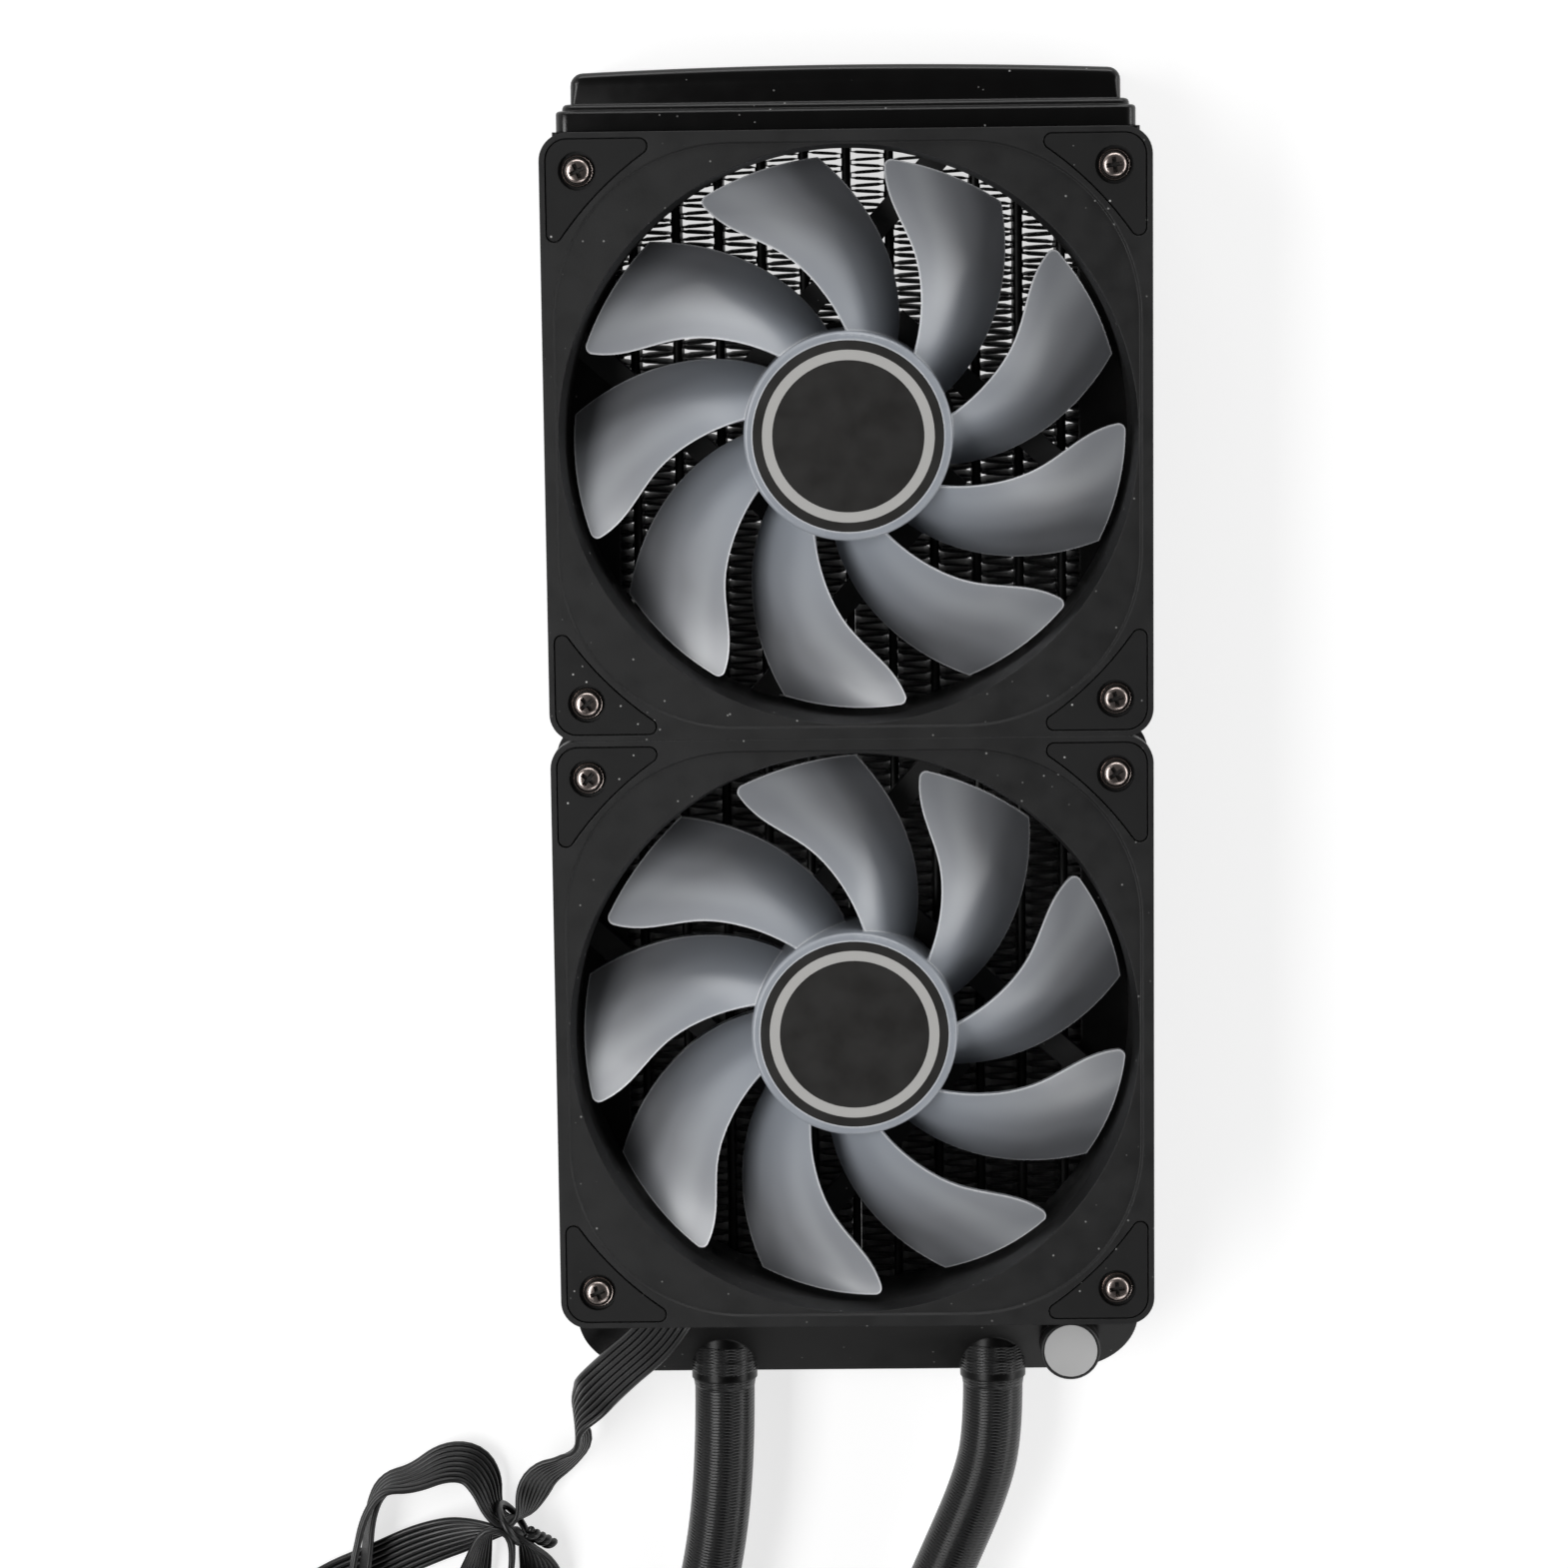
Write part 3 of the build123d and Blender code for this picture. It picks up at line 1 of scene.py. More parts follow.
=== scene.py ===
"""Looks of a liquid cooler for a processor.

A finned radiator lies on its back with two fans on it. Two sleeved hoses run to a round pump block,
and the flat fan cable comes out from under the lower fan and is tied up in loops.
"""

import logging
import math
import random
from dataclasses import dataclass, field
from enum import Enum
from typing import Optional, Sequence, Union

import bpy
import numpy as np
from mathutils import Matrix, Vector

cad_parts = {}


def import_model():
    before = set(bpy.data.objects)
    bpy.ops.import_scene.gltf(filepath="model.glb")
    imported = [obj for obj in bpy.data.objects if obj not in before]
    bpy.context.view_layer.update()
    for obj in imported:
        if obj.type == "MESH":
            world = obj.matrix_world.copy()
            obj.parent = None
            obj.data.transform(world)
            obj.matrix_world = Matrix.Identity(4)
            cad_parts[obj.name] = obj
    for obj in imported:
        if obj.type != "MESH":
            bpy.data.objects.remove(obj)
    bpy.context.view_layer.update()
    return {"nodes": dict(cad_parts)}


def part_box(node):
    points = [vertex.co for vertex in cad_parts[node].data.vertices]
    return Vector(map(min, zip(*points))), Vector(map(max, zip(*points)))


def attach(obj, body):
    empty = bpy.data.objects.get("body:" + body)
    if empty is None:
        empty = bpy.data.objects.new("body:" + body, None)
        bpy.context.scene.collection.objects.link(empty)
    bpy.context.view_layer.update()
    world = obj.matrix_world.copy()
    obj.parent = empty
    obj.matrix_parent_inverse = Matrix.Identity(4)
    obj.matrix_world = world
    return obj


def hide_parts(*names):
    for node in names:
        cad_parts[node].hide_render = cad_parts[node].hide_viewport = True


LOG = logging.getLogger("cooler")
MM = 0.001
UP = np.array([0.0, 0.0, 1.0])
CHASSIS = "chassis"  # the body that all but the rotors ride on
SAME_PLACE = 1e-9  # a distance in metres too small to count
NOISE_SPAN = (0.3, 0.7)  # where most of a noise pattern lies

Point = tuple[float, float, float]
Colour = tuple[float, float, float]


class Grain(Enum):
    """How a surface's fine relief runs."""

    FINE = "fine"
    TURNED = "turned"


# Shaders


class NodeBuilder:
    """Builds nodes in one node tree."""

    def __init__(self, tree: bpy.types.NodeTree) -> None:
        """Takes the node tree to build in."""
        self.tree = tree

    def link(self, source: bpy.types.NodeSocket, target: bpy.types.NodeSocket) -> None:
        """Joins an output socket to an input socket."""
        self.tree.links.new(source, target)

    def rays(self) -> bpy.types.Node:
        """Gives the node that tells what kind of ray sees a surface."""
        return self.tree.nodes.new("ShaderNodeLightPath")

    def parts(self, vector: bpy.types.NodeSocket) -> dict[str, bpy.types.NodeSocket]:
        """Splits a vector into its X, Y and Z.

        Args:
            vector: The vector's socket.

        Returns:
            The three sockets by the axis's letter.
        """
        node = self.tree.nodes.new("ShaderNodeSeparateXYZ")
        self.link(vector, node.inputs[0])
        return {axis: node.outputs[axis] for axis in "XYZ"}

    def coordinates(self, kind: str = "Object") -> bpy.types.NodeSocket:
        """Gives texture coordinates of a kind, such as Object or UV."""
        return self.tree.nodes.new("ShaderNodeTexCoord").outputs[kind]

    def moved(self, vector: bpy.types.NodeSocket, offset: Point, scale: Point) -> bpy.types.NodeSocket:
        """Shifts and then scales coordinates.

        Args:
            vector: The coordinates.
            offset: What is taken away from them.
            scale: What they are then multiplied by.

        Returns:
            The changed coordinates.
        """
        shift = self.tree.nodes.new("ShaderNodeVectorMath")
        shift.operation = "SUBTRACT"
        self.link(vector, shift.inputs[0])
        shift.inputs[1].default_value = offset
        stretch = self.tree.nodes.new("ShaderNodeVectorMath")
        stretch.operation = "MULTIPLY"
        self.link(shift.outputs[0], stretch.inputs[0])
        stretch.inputs[1].default_value = scale
        return stretch.outputs[0]

    def length(self, vector: bpy.types.NodeSocket) -> bpy.types.NodeSocket:
        """Gives a vector's length.

        Args:
            vector: The vector's socket.

        Returns:
            The length's socket.
        """
        node = self.tree.nodes.new("ShaderNodeVectorMath")
        node.operation = "LENGTH"
        self.link(vector, node.inputs[0])
        return node.outputs["Value"]

    def noise(self, vector: bpy.types.NodeSocket, scale: float, detail: float = 2.0) -> bpy.types.NodeSocket:
        """Gives cloudy noise at a scale in waves per metre.

        Args:
            vector: The coordinates.
            scale: The waves per metre.
            detail: How many finer layers it has.

        Returns:
            The noise's socket, from 0 to 1.
        """
        node = self.tree.nodes.new("ShaderNodeTexNoise")
        self.link(vector, node.inputs["Vector"])
        node.inputs["Scale"].default_value = scale
        node.inputs["Detail"].default_value = detail
        return node.outputs["Fac"]

    def cells(self, vector: bpy.types.NodeSocket, scale: float) -> bpy.types.NodeSocket:
        """Gives the distance to the nearest of many scattered points.

        Args:
            vector: The coordinates.
            scale: The points per metre.

        Returns:
            The distance's socket.
        """
        node = self.tree.nodes.new("ShaderNodeTexVoronoi")
        self.link(vector, node.inputs["Vector"])
        node.inputs["Scale"].default_value = scale
        return node.outputs["Distance"]

    def ramp(self, factor: bpy.types.NodeSocket, stops: Sequence[tuple[float, Colour]],
             stepped: bool = False) -> bpy.types.NodeSocket:
        """Turns a number into a colour.

        Args:
            factor: The number, from 0 to 1.
            stops: Places along the ramp with their colours.
            stepped: Whether the colour jumps at each stop.

        Returns:
            The colour socket.
        """
        node = self.tree.nodes.new("ShaderNodeValToRGB")
        node.color_ramp.interpolation = "CONSTANT" if stepped else "EASE"
        elements = node.color_ramp.elements
        while len(elements) < len(stops):
            elements.new(0.5)
        for element, (place, colour) in zip(elements, stops):
            element.position = place
            element.color = (*colour, 1.0)
        self.link(factor, node.inputs["Fac"])
        return node.outputs["Color"]

    def rescaled(self, factor: bpy.types.NodeSocket, old: tuple[float, float],
                 new: tuple[float, float], smooth: bool = False) -> bpy.types.NodeSocket:
        """Maps one range of numbers onto another, held at its ends and eased there where it is smooth.

        Args:
            factor: The number's socket.
            old: The range that it comes from.
            new: The range that it goes to.
            smooth: Whether it is eased at the ends.

        Returns:
            The new number's socket.
        """
        node = self.tree.nodes.new("ShaderNodeMapRange")
        if smooth:
            node.interpolation_type = "SMOOTHSTEP"
        for socket, number in zip(("From Min", "From Max", "To Min", "To Max"), (*old, *new)):
            node.inputs[socket].default_value = number
        self.link(factor, node.inputs["Value"])
        return node.outputs["Result"]

    def mixed(self, factor: bpy.types.NodeSocket, first: object, second: object) -> bpy.types.NodeSocket:
        """Mixes two colours, each a socket or three numbers.

        Args:
            factor: The second colour's share.
            first: The first colour.
            second: The second colour.

        Returns:
            The mixed colour's socket.
        """
        node = self.tree.nodes.new("ShaderNodeMix")
        node.data_type = "RGBA"
        self.link(factor, node.inputs[0])
        for place, colour in ((6, first), (7, second)):
            if isinstance(colour, tuple):
                node.inputs[place].default_value = (*colour, 1.0)
            else:
                self.link(colour, node.inputs[place])
        return node.outputs[2]

    def combined(self, operation: str, first: bpy.types.NodeSocket, second: object) -> bpy.types.NodeSocket:
        """Puts two numbers together by an operation such as ADD or MULTIPLY.

        Args:
            operation: The operation's name.
            first: The first number's socket.
            second: The second number, or its socket.

        Returns:
            The result's socket.
        """
        node = self.tree.nodes.new("ShaderNodeMath")
        node.operation = operation
        self.link(first, node.inputs[0])
        if isinstance(second, (int, float)):
            node.inputs[1].default_value = second
        else:
            self.link(second, node.inputs[1])
        return node.outputs[0]


class ShaderBuilder(NodeBuilder):
    """Builds one node material step by step."""

    bevel_samples: int = 4
    edge_likeness: tuple[float, float] = (0.99, 0.86)

    def __init__(self, name: str) -> None:
        """Starts an empty material with one principled shader.

        Args:
            name: The material's name.
        """
        self.material = bpy.data.materials.new(name)
        self.material.use_nodes = True
        super().__init__(self.material.node_tree)
        self.tree.nodes.clear()
        self.output = self.tree.nodes.new("ShaderNodeOutputMaterial")
        self.surface = self.tree.nodes.new("ShaderNodeBsdfPrincipled")
        self.link(self.surface.outputs["BSDF"], self.output.inputs["Surface"])

    def value(self, socket: str, value: object) -> None:
        """Sets a constant on the principled shader's own socket."""
        self.surface.inputs[socket].default_value = value

    def rounded_normal(self, radius: float) -> bpy.types.NodeSocket:
        """Gives the surface's direction as if its edges were rounded by a radius.

        Args:
            radius: The radius in metres.

        Returns:
            The direction's socket.
        """
        node = self.tree.nodes.new("ShaderNodeBevel")
        node.samples = self.bevel_samples
        node.inputs["Radius"].default_value = radius
        return node.outputs["Normal"]

    def near_edge(self, radius: float) -> bpy.types.NodeSocket:
        """Gives 1 along the piece's sharp edges, fading to 0 at a radius from them.

        Args:
            radius: The radius in metres.

        Returns:
            The nearness's socket.
        """
        geometry = self.tree.nodes.new("ShaderNodeNewGeometry")
        likeness = self.tree.nodes.new("ShaderNodeVectorMath")
        likeness.operation = "DOT_PRODUCT"
        self.link(self.rounded_normal(radius), likeness.inputs[0])
        self.link(geometry.outputs["Normal"], likeness.inputs[1])
        return self.rescaled(likeness.outputs["Value"], self.edge_likeness, (0.0, 1.0))

    def bump(self, height: bpy.types.NodeSocket, strength: float, distance: float,
             normal: Optional[bpy.types.NodeSocket] = None) -> None:
        """Gives the surface relief of a height in metres, on top of a direction where one is given.

        Args:
            height: The height's socket, from 0 to 1.
            strength: How much of it counts.
            distance: The full height in metres.
            normal: The direction under it, if it isn't the surface's own.
        """
        node = self.tree.nodes.new("ShaderNodeBump")
        node.inputs["Strength"].default_value = strength
        node.inputs["Distance"].default_value = distance
        self.link(height, node.inputs["Height"])
        if normal:
            self.link(normal, node.inputs["Normal"])
        self.link(node.outputs["Normal"], self.surface.inputs["Normal"])


# Finishes


@dataclass(frozen=True)
class Finish:
    """A plain finish with slight variation in colour and gloss."""

    name: str
    colour: Colour
    roughness: float = 0.5
    metallic: float = 0.0
    grain: Grain = Grain.FINE
    grain_height: float = 0.00003
    variation: float = 0.18
    specks: float = 0.0
    specular: float = 0.5
    edge_radius: float = 0.0
    cloud_scale: float = 55.0
    gloss_scale: float = 180.0
    gloss_spread: float = 0.12
    grain_scale: float = 2400.0
    grain_strength: float = 0.5
    turned_stretch: float = 24.0
    dust_scale: float = 330.0
    dust_reach: tuple[float, float] = (0.085, 0.04)
    dust_patches: float = 140.0
    dust_cover: tuple[float, float] = (0.46, 0.54)
    dust_colour: Colour = (0.42, 0.42, 0.41)

    def varied(self, shader: ShaderBuilder) -> bpy.types.NodeSocket:
        """Gives the colour with cloudy light and dark areas.

        Args:
            shader: The material that is being built.

        Returns:
            The colour socket.
        """
        cloud = shader.noise(shader.coordinates(), self.cloud_scale, detail=3.0)
        dark = tuple(part * (1 - self.variation) for part in self.colour)
        light = tuple(min(part * (1 + self.variation), 1.0) for part in self.colour)
        return shader.ramp(cloud, list(zip(NOISE_SPAN, (dark, light))))

    def dusted(self, shader: ShaderBuilder, base: bpy.types.NodeSocket) -> bpy.types.NodeSocket:
        """Adds a few pale dust specks to a colour.

        Args:
            shader: The material that is being built.
            base: The colour under the dust.

        Returns:
            The colour's socket.
        """
        near = shader.cells(shader.coordinates(), self.dust_scale)
        thin = shader.noise(shader.coordinates(), self.dust_patches)
        spot = shader.rescaled(near, self.dust_reach, (0.0, 1.0))
        some = shader.rescaled(thin, self.dust_cover, (0.0, self.specks))
        return shader.mixed(shader.combined("MULTIPLY", spot, some), base, self.dust_colour)

    def relief(self, shader: ShaderBuilder) -> None:
        """Gives the surface its grain, and its sharp edges a rounded look.

        Args:
            shader: The material that is being built.
        """
        place = shader.coordinates()
        if self.grain is Grain.TURNED:
            place = shader.moved(place, (0.0, 0.0, 0.0), (1.0, 1.0, self.turned_stretch))
        normal = shader.rounded_normal(self.edge_radius) if self.edge_radius else None
        grain = shader.noise(place, self.grain_scale, detail=3.0)
        shader.bump(grain, self.grain_strength, self.grain_height, normal)

    def material(self) -> bpy.types.Material:
        """Builds the material, or gives it back where it is already there.

        Returns:
            The material.
        """
        name = self.name + "_finish"
        found = bpy.data.materials.get(name)
        if found:
            return found
        shader = ShaderBuilder(name)
        shader.value("Metallic", self.metallic)
        shader.value("Specular IOR Level", self.specular)
        colour = self.varied(shader)
        if self.specks:
            colour = self.dusted(shader, colour)
        shader.link(colour, shader.surface.inputs["Base Color"])
        rough = shader.noise(shader.coordinates(), self.gloss_scale)
        spread = (self.roughness * (1 - self.gloss_spread), min(self.roughness * (1 + self.gloss_spread), 1.0))
        shader.link(shader.rescaled(rough, NOISE_SPAN, spread), shader.surface.inputs["Roughness"])
        self.relief(shader)
        self.extras(shader)
        return shader.material

    def extras(self, shader: ShaderBuilder) -> None:
        """Adds what a special finish has beyond the plain one."""


@dataclass(frozen=True)
class Frosted(Finish):
    """Smoky clear plastic of a rotor.

    Its colour is the hub's. Each blade has painted shade along its back edge and painted light towards its front
    edge, and a painted highlight along its thin edges; near the hub the painted shading gives way to the hub's
    colour, which is painted light on the blade roots.
    """

    centre: Point = (0.0, 0.0, 0.0)
    turned: float = 0.0
    # Painted shade and light across a blade, from its back edge (0) to its front edge (1).
    painted_shading: tuple[tuple[float, Colour], ...] = (
        (0.0, (0.150, 0.155, 0.167)), (0.14, (0.135, 0.140, 0.151)), (0.42, (0.205, 0.213, 0.230)),
        (0.76, (0.300, 0.312, 0.333)), (0.95, (0.250, 0.261, 0.282)),
    )
    # Painted highlight colour along the blades' thin edges.
    edge_painted_highlight: Colour = (0.74, 0.75, 0.77)
    transmission: float = 0.08
    blade_step: float = 40.0
    hub_radius: float = 0.0207
    bend_radius: float = 0.0475
    tip_radius: float = 0.0548
    tip_middle: float = -13.1
    outer_sweep: float = 5.0
    inner_sweep: float = 27.9
    root_half: float = 15.0
    tip_half: float = 13.1
    edge_width: float = 0.7 * MM
    drift_scale: float = 45.0
    drift: float = 0.08
    # Near the hub the painted shading gives way to the hub's colour, which paints light onto the blade roots.
    hub_fade: tuple[float, float] = (2.1, 1.1)
    hub_share: float = 0.85
    refraction: float = 1.49
    coat: float = 0.5
    coat_roughness: float = 0.24

    def across_blade(self, shader: ShaderBuilder, out: bpy.types.NodeSocket,
                     flat: bpy.types.NodeSocket) -> bpy.types.NodeSocket:
        """Gives 0 at a blade's back edge and 1 at its front edge.

        Args:
            shader: The material that is being built.
            out: The distance from the rotor's axis.
            flat: The place seen from the axis.

        Returns:
            The share across the blade.
        """
        split = shader.parts(flat)
        turn = shader.combined("ARCTAN2", split["Y"], split["X"])
        turn = shader.combined("MULTIPLY", turn, math.degrees(1.0))
        near = shader.rescaled(out, (self.hub_radius, self.bend_radius), (self.inner_sweep, 0.0))
        far = shader.rescaled(out, (self.bend_radius, self.tip_radius), (self.outer_sweep, 0.0))
        turn = shader.combined("ADD", shader.combined("ADD", turn, near), far)
        start = self.turned + self.tip_middle - self.blade_step / 2
        turn = shader.combined("ADD", turn, 360.0 - start)
        turn = shader.combined("MODULO", turn, self.blade_step)
        offset = shader.combined("SUBTRACT", turn, self.blade_step / 2)
        half = shader.rescaled(out, (self.hub_radius, self.tip_radius), (self.root_half, self.tip_half))
        return shader.rescaled(shader.combined("DIVIDE", offset, half), (-1.0, 1.0), (0.0, 1.0))

    def varied(self, shader: ShaderBuilder) -> bpy.types.NodeSocket:
        """Gives each blade painted shade and light from edge to edge, the hub its own colour, and thin edges a
        painted highlight line.

        Args:
            shader: The material that is being built.

        Returns:
            The colour's socket.
        """
        flat = shader.moved(shader.coordinates(), self.centre, (1.0, 1.0, 0.0))
        out = shader.length(flat)
        share = self.across_blade(shader, out, flat)
        cloud = shader.noise(shader.coordinates(), self.drift_scale)
        cloud = shader.rescaled(cloud, NOISE_SPAN, (-self.drift, self.drift))
        # Painted shade and light across each blade.
        body = shader.ramp(shader.combined("ADD", share, cloud), self.painted_shading)
        fade = tuple(self.hub_radius * times for times in self.hub_fade)
        near = shader.rescaled(out, fade, (0.0, self.hub_share))
        body = shader.mixed(near, body, self.colour)
        # Painted highlight along the thin edges.
        return shader.mixed(shader.near_edge(self.edge_width), body, self.edge_painted_highlight)

    def extras(self, shader: ShaderBuilder) -> None:
        """Lets some light through and gives a soft shine.

        Args:
            shader: The material that is being built.
        """
        shader.value("Transmission Weight", self.transmission)
        shader.value("IOR", self.refraction)
        shader.value("Coat Weight", self.coat)
        shader.value("Coat Roughness", self.coat_roughness)


@dataclass(frozen=True)
class RingedLabel(Finish):
    """A dark round label with one pale printed ring."""

    centre: Point = (0.0, 0.0, 0.0)
    ring_inner: float = 0.0150
    ring_outer: float = 0.0170
    ring_colour: Colour = (0.38, 0.375, 0.365)
    span: float = 0.02

    def varied(self, shader: ShaderBuilder) -> bpy.types.NodeSocket:
        """Gives the label's colour by its distance from the middle.

        Args:
            shader: The material that is being built.

        Returns:
            The colour's socket.
        """
        flat = shader.moved(shader.coordinates(), self.centre, (1.0, 1.0, 0.0))
        out = shader.rescaled(shader.length(flat), (0.0, self.span), (0.0, 1.0))
        stops = [(0.0, self.colour), (self.ring_inner / self.span, self.ring_colour),
                 (self.ring_outer / self.span, self.colour)]
        return shader.ramp(out, stops, stepped=True)


@dataclass(frozen=True)
class Sleeve(Finish):
    """Woven sleeve of a hose: two families of threads that cross at a small angle, laid nearly across, with
    painted shade in the gaps and a painted highlight on the thread tops.
    """

    thread_pitch: float = 0.00068
    thread_reach: float = 0.0046
    # Paler colour of the thread tops, a painted highlight; the gaps keep the darker colour as painted shade.
    thread_top_painted_highlight: Colour = (0.014, 0.014, 0.0142)
    thread_height: float = 0.00006
    gap_depth: float = -0.6

    def threads(self, shader: ShaderBuilder) -> bpy.types.NodeSocket:
        """Gives the height of the threads, from 0 to 1.

        Args:
            shader: The material that is being built.

        Returns:
            The height socket.
        """
        rows = shader.moved(shader.coordinates("UV"), (0.0, 0.0, 0.0),
                            (1.0 / self.thread_pitch, 1.0 / self.thread_reach, 0.0))
        split = shader.parts(rows)
        families = []
        for operation in ("ADD", "SUBTRACT"):
            turns = shader.combined(operation, split["X"], split["Y"])
            angle = shader.combined("MULTIPLY", turns, 2 * math.pi)
            families.append(shader.combined("SINE", angle, 0.0))
        crossed = shader.combined("MAXIMUM", families[0], families[1])
        return shader.rescaled(crossed, (self.gap_depth, 1.0), (0.0, 1.0))

    def varied(self, shader: ShaderBuilder) -> bpy.types.NodeSocket:
        """Gives painted shade in the gaps and a painted highlight on the thread tops."""
        return shader.mixed(self.threads(shader), self.colour, self.thread_top_painted_highlight)

    def relief(self, shader: ShaderBuilder) -> None:
        """Raises the threads."""
        shader.bump(self.threads(shader), 1.0, self.thread_height)


# Meshes


def added(name: str, data: bpy.types.ID) -> bpy.types.Object:
    """Adds an object to the scene.

    Args:
        name: The object's name.
        data: Its mesh, curve, lamp or camera.

    Returns:
        The object.
    """
    item = bpy.data.objects.new(name, data)
    bpy.context.scene.collection.objects.link(item)
    return item


def mesh_piece(name: str, vertices: np.ndarray, faces: Sequence[Sequence[int]], finish: Finish,
               smooth: bool = True) -> bpy.types.Object:
    """Makes one mesh object with its finish.

    Args:
        name: The piece's name.
        vertices: Its corners in metres, one per row.
        faces: The corner numbers of each face.
        finish: What it is dressed in.
        smooth: Whether it is shaded smooth.

    Returns:
        The object.
    """
    mesh = bpy.data.meshes.new(name)
    mesh.from_pydata([tuple(corner) for corner in vertices], [], [tuple(face) for face in faces])
    mesh.update()
    mesh.polygons.foreach_set("use_smooth", [smooth] * len(mesh.polygons))
    mesh.materials.append(finish.material())
    return added(name, mesh)


@dataclass
class Form:
    """Corners and faces gathered from several closed parts of one piece."""

    corners: list[np.ndarray] = field(default_factory=list)
    faces: list[tuple[int, ...]] = field(default_factory=list)
    count: int = 0

    def add(self, corners: np.ndarray, faces: Sequence[Sequence[int]]) -> None:
        """Adds a part by its corners and by its faces, which count from the part's first corner.

        Args:
            corners: The part's corners, one per row.
            faces: The corner numbers of its faces.
        """
        self.faces += [tuple(self.count + number for number in face) for face in faces]
        self.corners.append(corners)
        self.count += len(corners)


@dataclass(frozen=True)
class Route:
    """A cord's line, as given points in millimetres."""

    name: str
    points: tuple[Point, ...]
    samples: int = 24

    def centreline(self) -> np.ndarray:
        """Reads the smooth line that the points control.

        Returns:
            Points along it in metres, one per row.
        """
        curve = bpy.data.curves.new(self.name + "_line", "CURVE")
        curve.dimensions = "3D"
        spline = curve.splines.new("NURBS")
        spline.points.add(len(self.points) - 1)
        for control, point in zip(spline.points, self.points):
            control.co = (point[0] * MM, point[1] * MM, point[2] * MM, 1.0)
        spline.order_u = 3
        spline.use_endpoint_u = True
        spline.resolution_u = self.samples
        holder = added(self.name + "_line", curve)
        bpy.context.view_layer.update()
        mesh = bpy.data.meshes.new_from_object(holder)
        line = np.array([vertex.co for vertex in mesh.vertices], float)
        bpy.data.objects.remove(holder)
        bpy.data.curves.remove(curve)
        bpy.data.meshes.remove(mesh)
        return line


def distances(line: np.ndarray) -> np.ndarray:
    """Gives how far along a line each of its points is."""
    return np.concatenate([[0.0], np.cumsum(np.linalg.norm(np.diff(line, axis=0), axis=1))])


def even_line(line: np.ndarray, step: float) -> np.ndarray:
    """Spaces a line's points evenly.

    Args:
        line: The points, one per row.
        step: The distance wanted between them.

    Returns:
        The new points, the first and last as they were.
    """
    keep = np.diff(distances(line)) > SAME_PLACE
    line = line[np.concatenate([[True], keep])]
    far = distances(line)
    count = max(int(round(far[-1] / step)), 2)
    places = np.linspace(0.0, far[-1], count + 1)
    return np.stack([np.interp(places, far, line[:, axis]) for axis in range(3)], axis=1)


def unit(vectors: np.ndarray) -> np.ndarray:
    """Brings each row's vector to a length of one."""
    return vectors / np.linalg.norm(vectors, axis=1)[:, None]


def line_frames(line: np.ndarray) -> tuple[np.ndarray, np.ndarray]:
    """Gives the level direction and the upright one across a line at each of its points.

    Args:
        line: The line's points, one per row.

    Returns:
        Both directions, one per row.
    """
    ahead = unit(np.gradient(line, axis=0))
    side = unit(np.cross(UP, ahead))
    return side, np.cross(ahead, side)


def once_round(count: int) -> np.ndarray:
    """Gives evenly spaced angles, once round."""
    return np.linspace(0.0, 2 * math.pi, count, endpoint=False)


def ring_corners(line: np.ndarray, radius: Union[float, np.ndarray], side: np.ndarray, over: np.ndarray,
                 around: int) -> np.ndarray:
    """Sets a ring of corners round each point of a line.

    Args:
        line: The points, one per row.
        radius: The rings' radius, one for all or one for each.
        side: The way to each ring's first corner.
        over: The way to the corner a quarter turn on.
        around: The number of corners in a ring.

    Returns:
        The corners, ring by ring.
    """
    angles = once_round(around)
    reach = np.reshape(radius, (-1, 1, 1))
    rings = (line[:, None, :] + reach * np.cos(angles)[None, :, None] * side[:, None, :]
             + reach * np.sin(angles)[None, :, None] * over[:, None, :])
    return rings.reshape(-1, 3)


def tube_faces(rings: int, around: int) -> list[tuple[int, ...]]:
    """Lists the faces of a closed tube made of rings of corners.

    Args:
        rings: The number of rings.
        around: The number of corners in a ring.

    Returns:
        The corner numbers of each face.
    """
    faces: list[tuple[int, ...]] = []
    for ring in range(rings - 1):
        low = ring * around
        for place in range(around):
            beside = (place + 1) % around
            faces.append((low + place, low + beside, low + around + beside, low + around + place))
    faces.append(tuple(reversed(range(around))))
    last = (rings - 1) * around
    faces.append(tuple(last + place for place in range(around)))
    return faces


# Finishes of this cooler

FRAME_PLASTIC = Finish("fan_frame_plastic", (0.0060, 0.0060, 0.0062), roughness=0.5, specks=0.5,
                       specular=0.4, edge_radius=0.3 * MM)
PAD_RUBBER = Finish("pad_rubber", (0.0036, 0.0036, 0.0037), roughness=0.62, specks=1.0, specular=0.3,
                    edge_radius=0.2 * MM)
BLACK_PAINT = Finish("black_paint", (0.0010, 0.0009, 0.0009), roughness=0.32, grain_height=0.000003, specks=0.3,
                     specular=0.2, edge_radius=0.5 * MM)
TANK_GLOSS = Finish("tank_gloss", (0.0012, 0.0011, 0.0011), roughness=0.22, grain_height=0.000003, specks=0.8,
                    specular=0.4, edge_radius=0.4 * MM)
CORE_PAINT = Finish("core_paint", (0.0030, 0.0030, 0.0030), roughness=0.5, grain_height=0.00001, specular=0.3)
MOULDED_BLACK = Finish("moulded_black", (0.006, 0.006, 0.0063), roughness=0.42, edge_radius=0.3 * MM)
SOFT_BLACK = Finish("soft_black", (0.014, 0.014, 0.014), roughness=0.7)
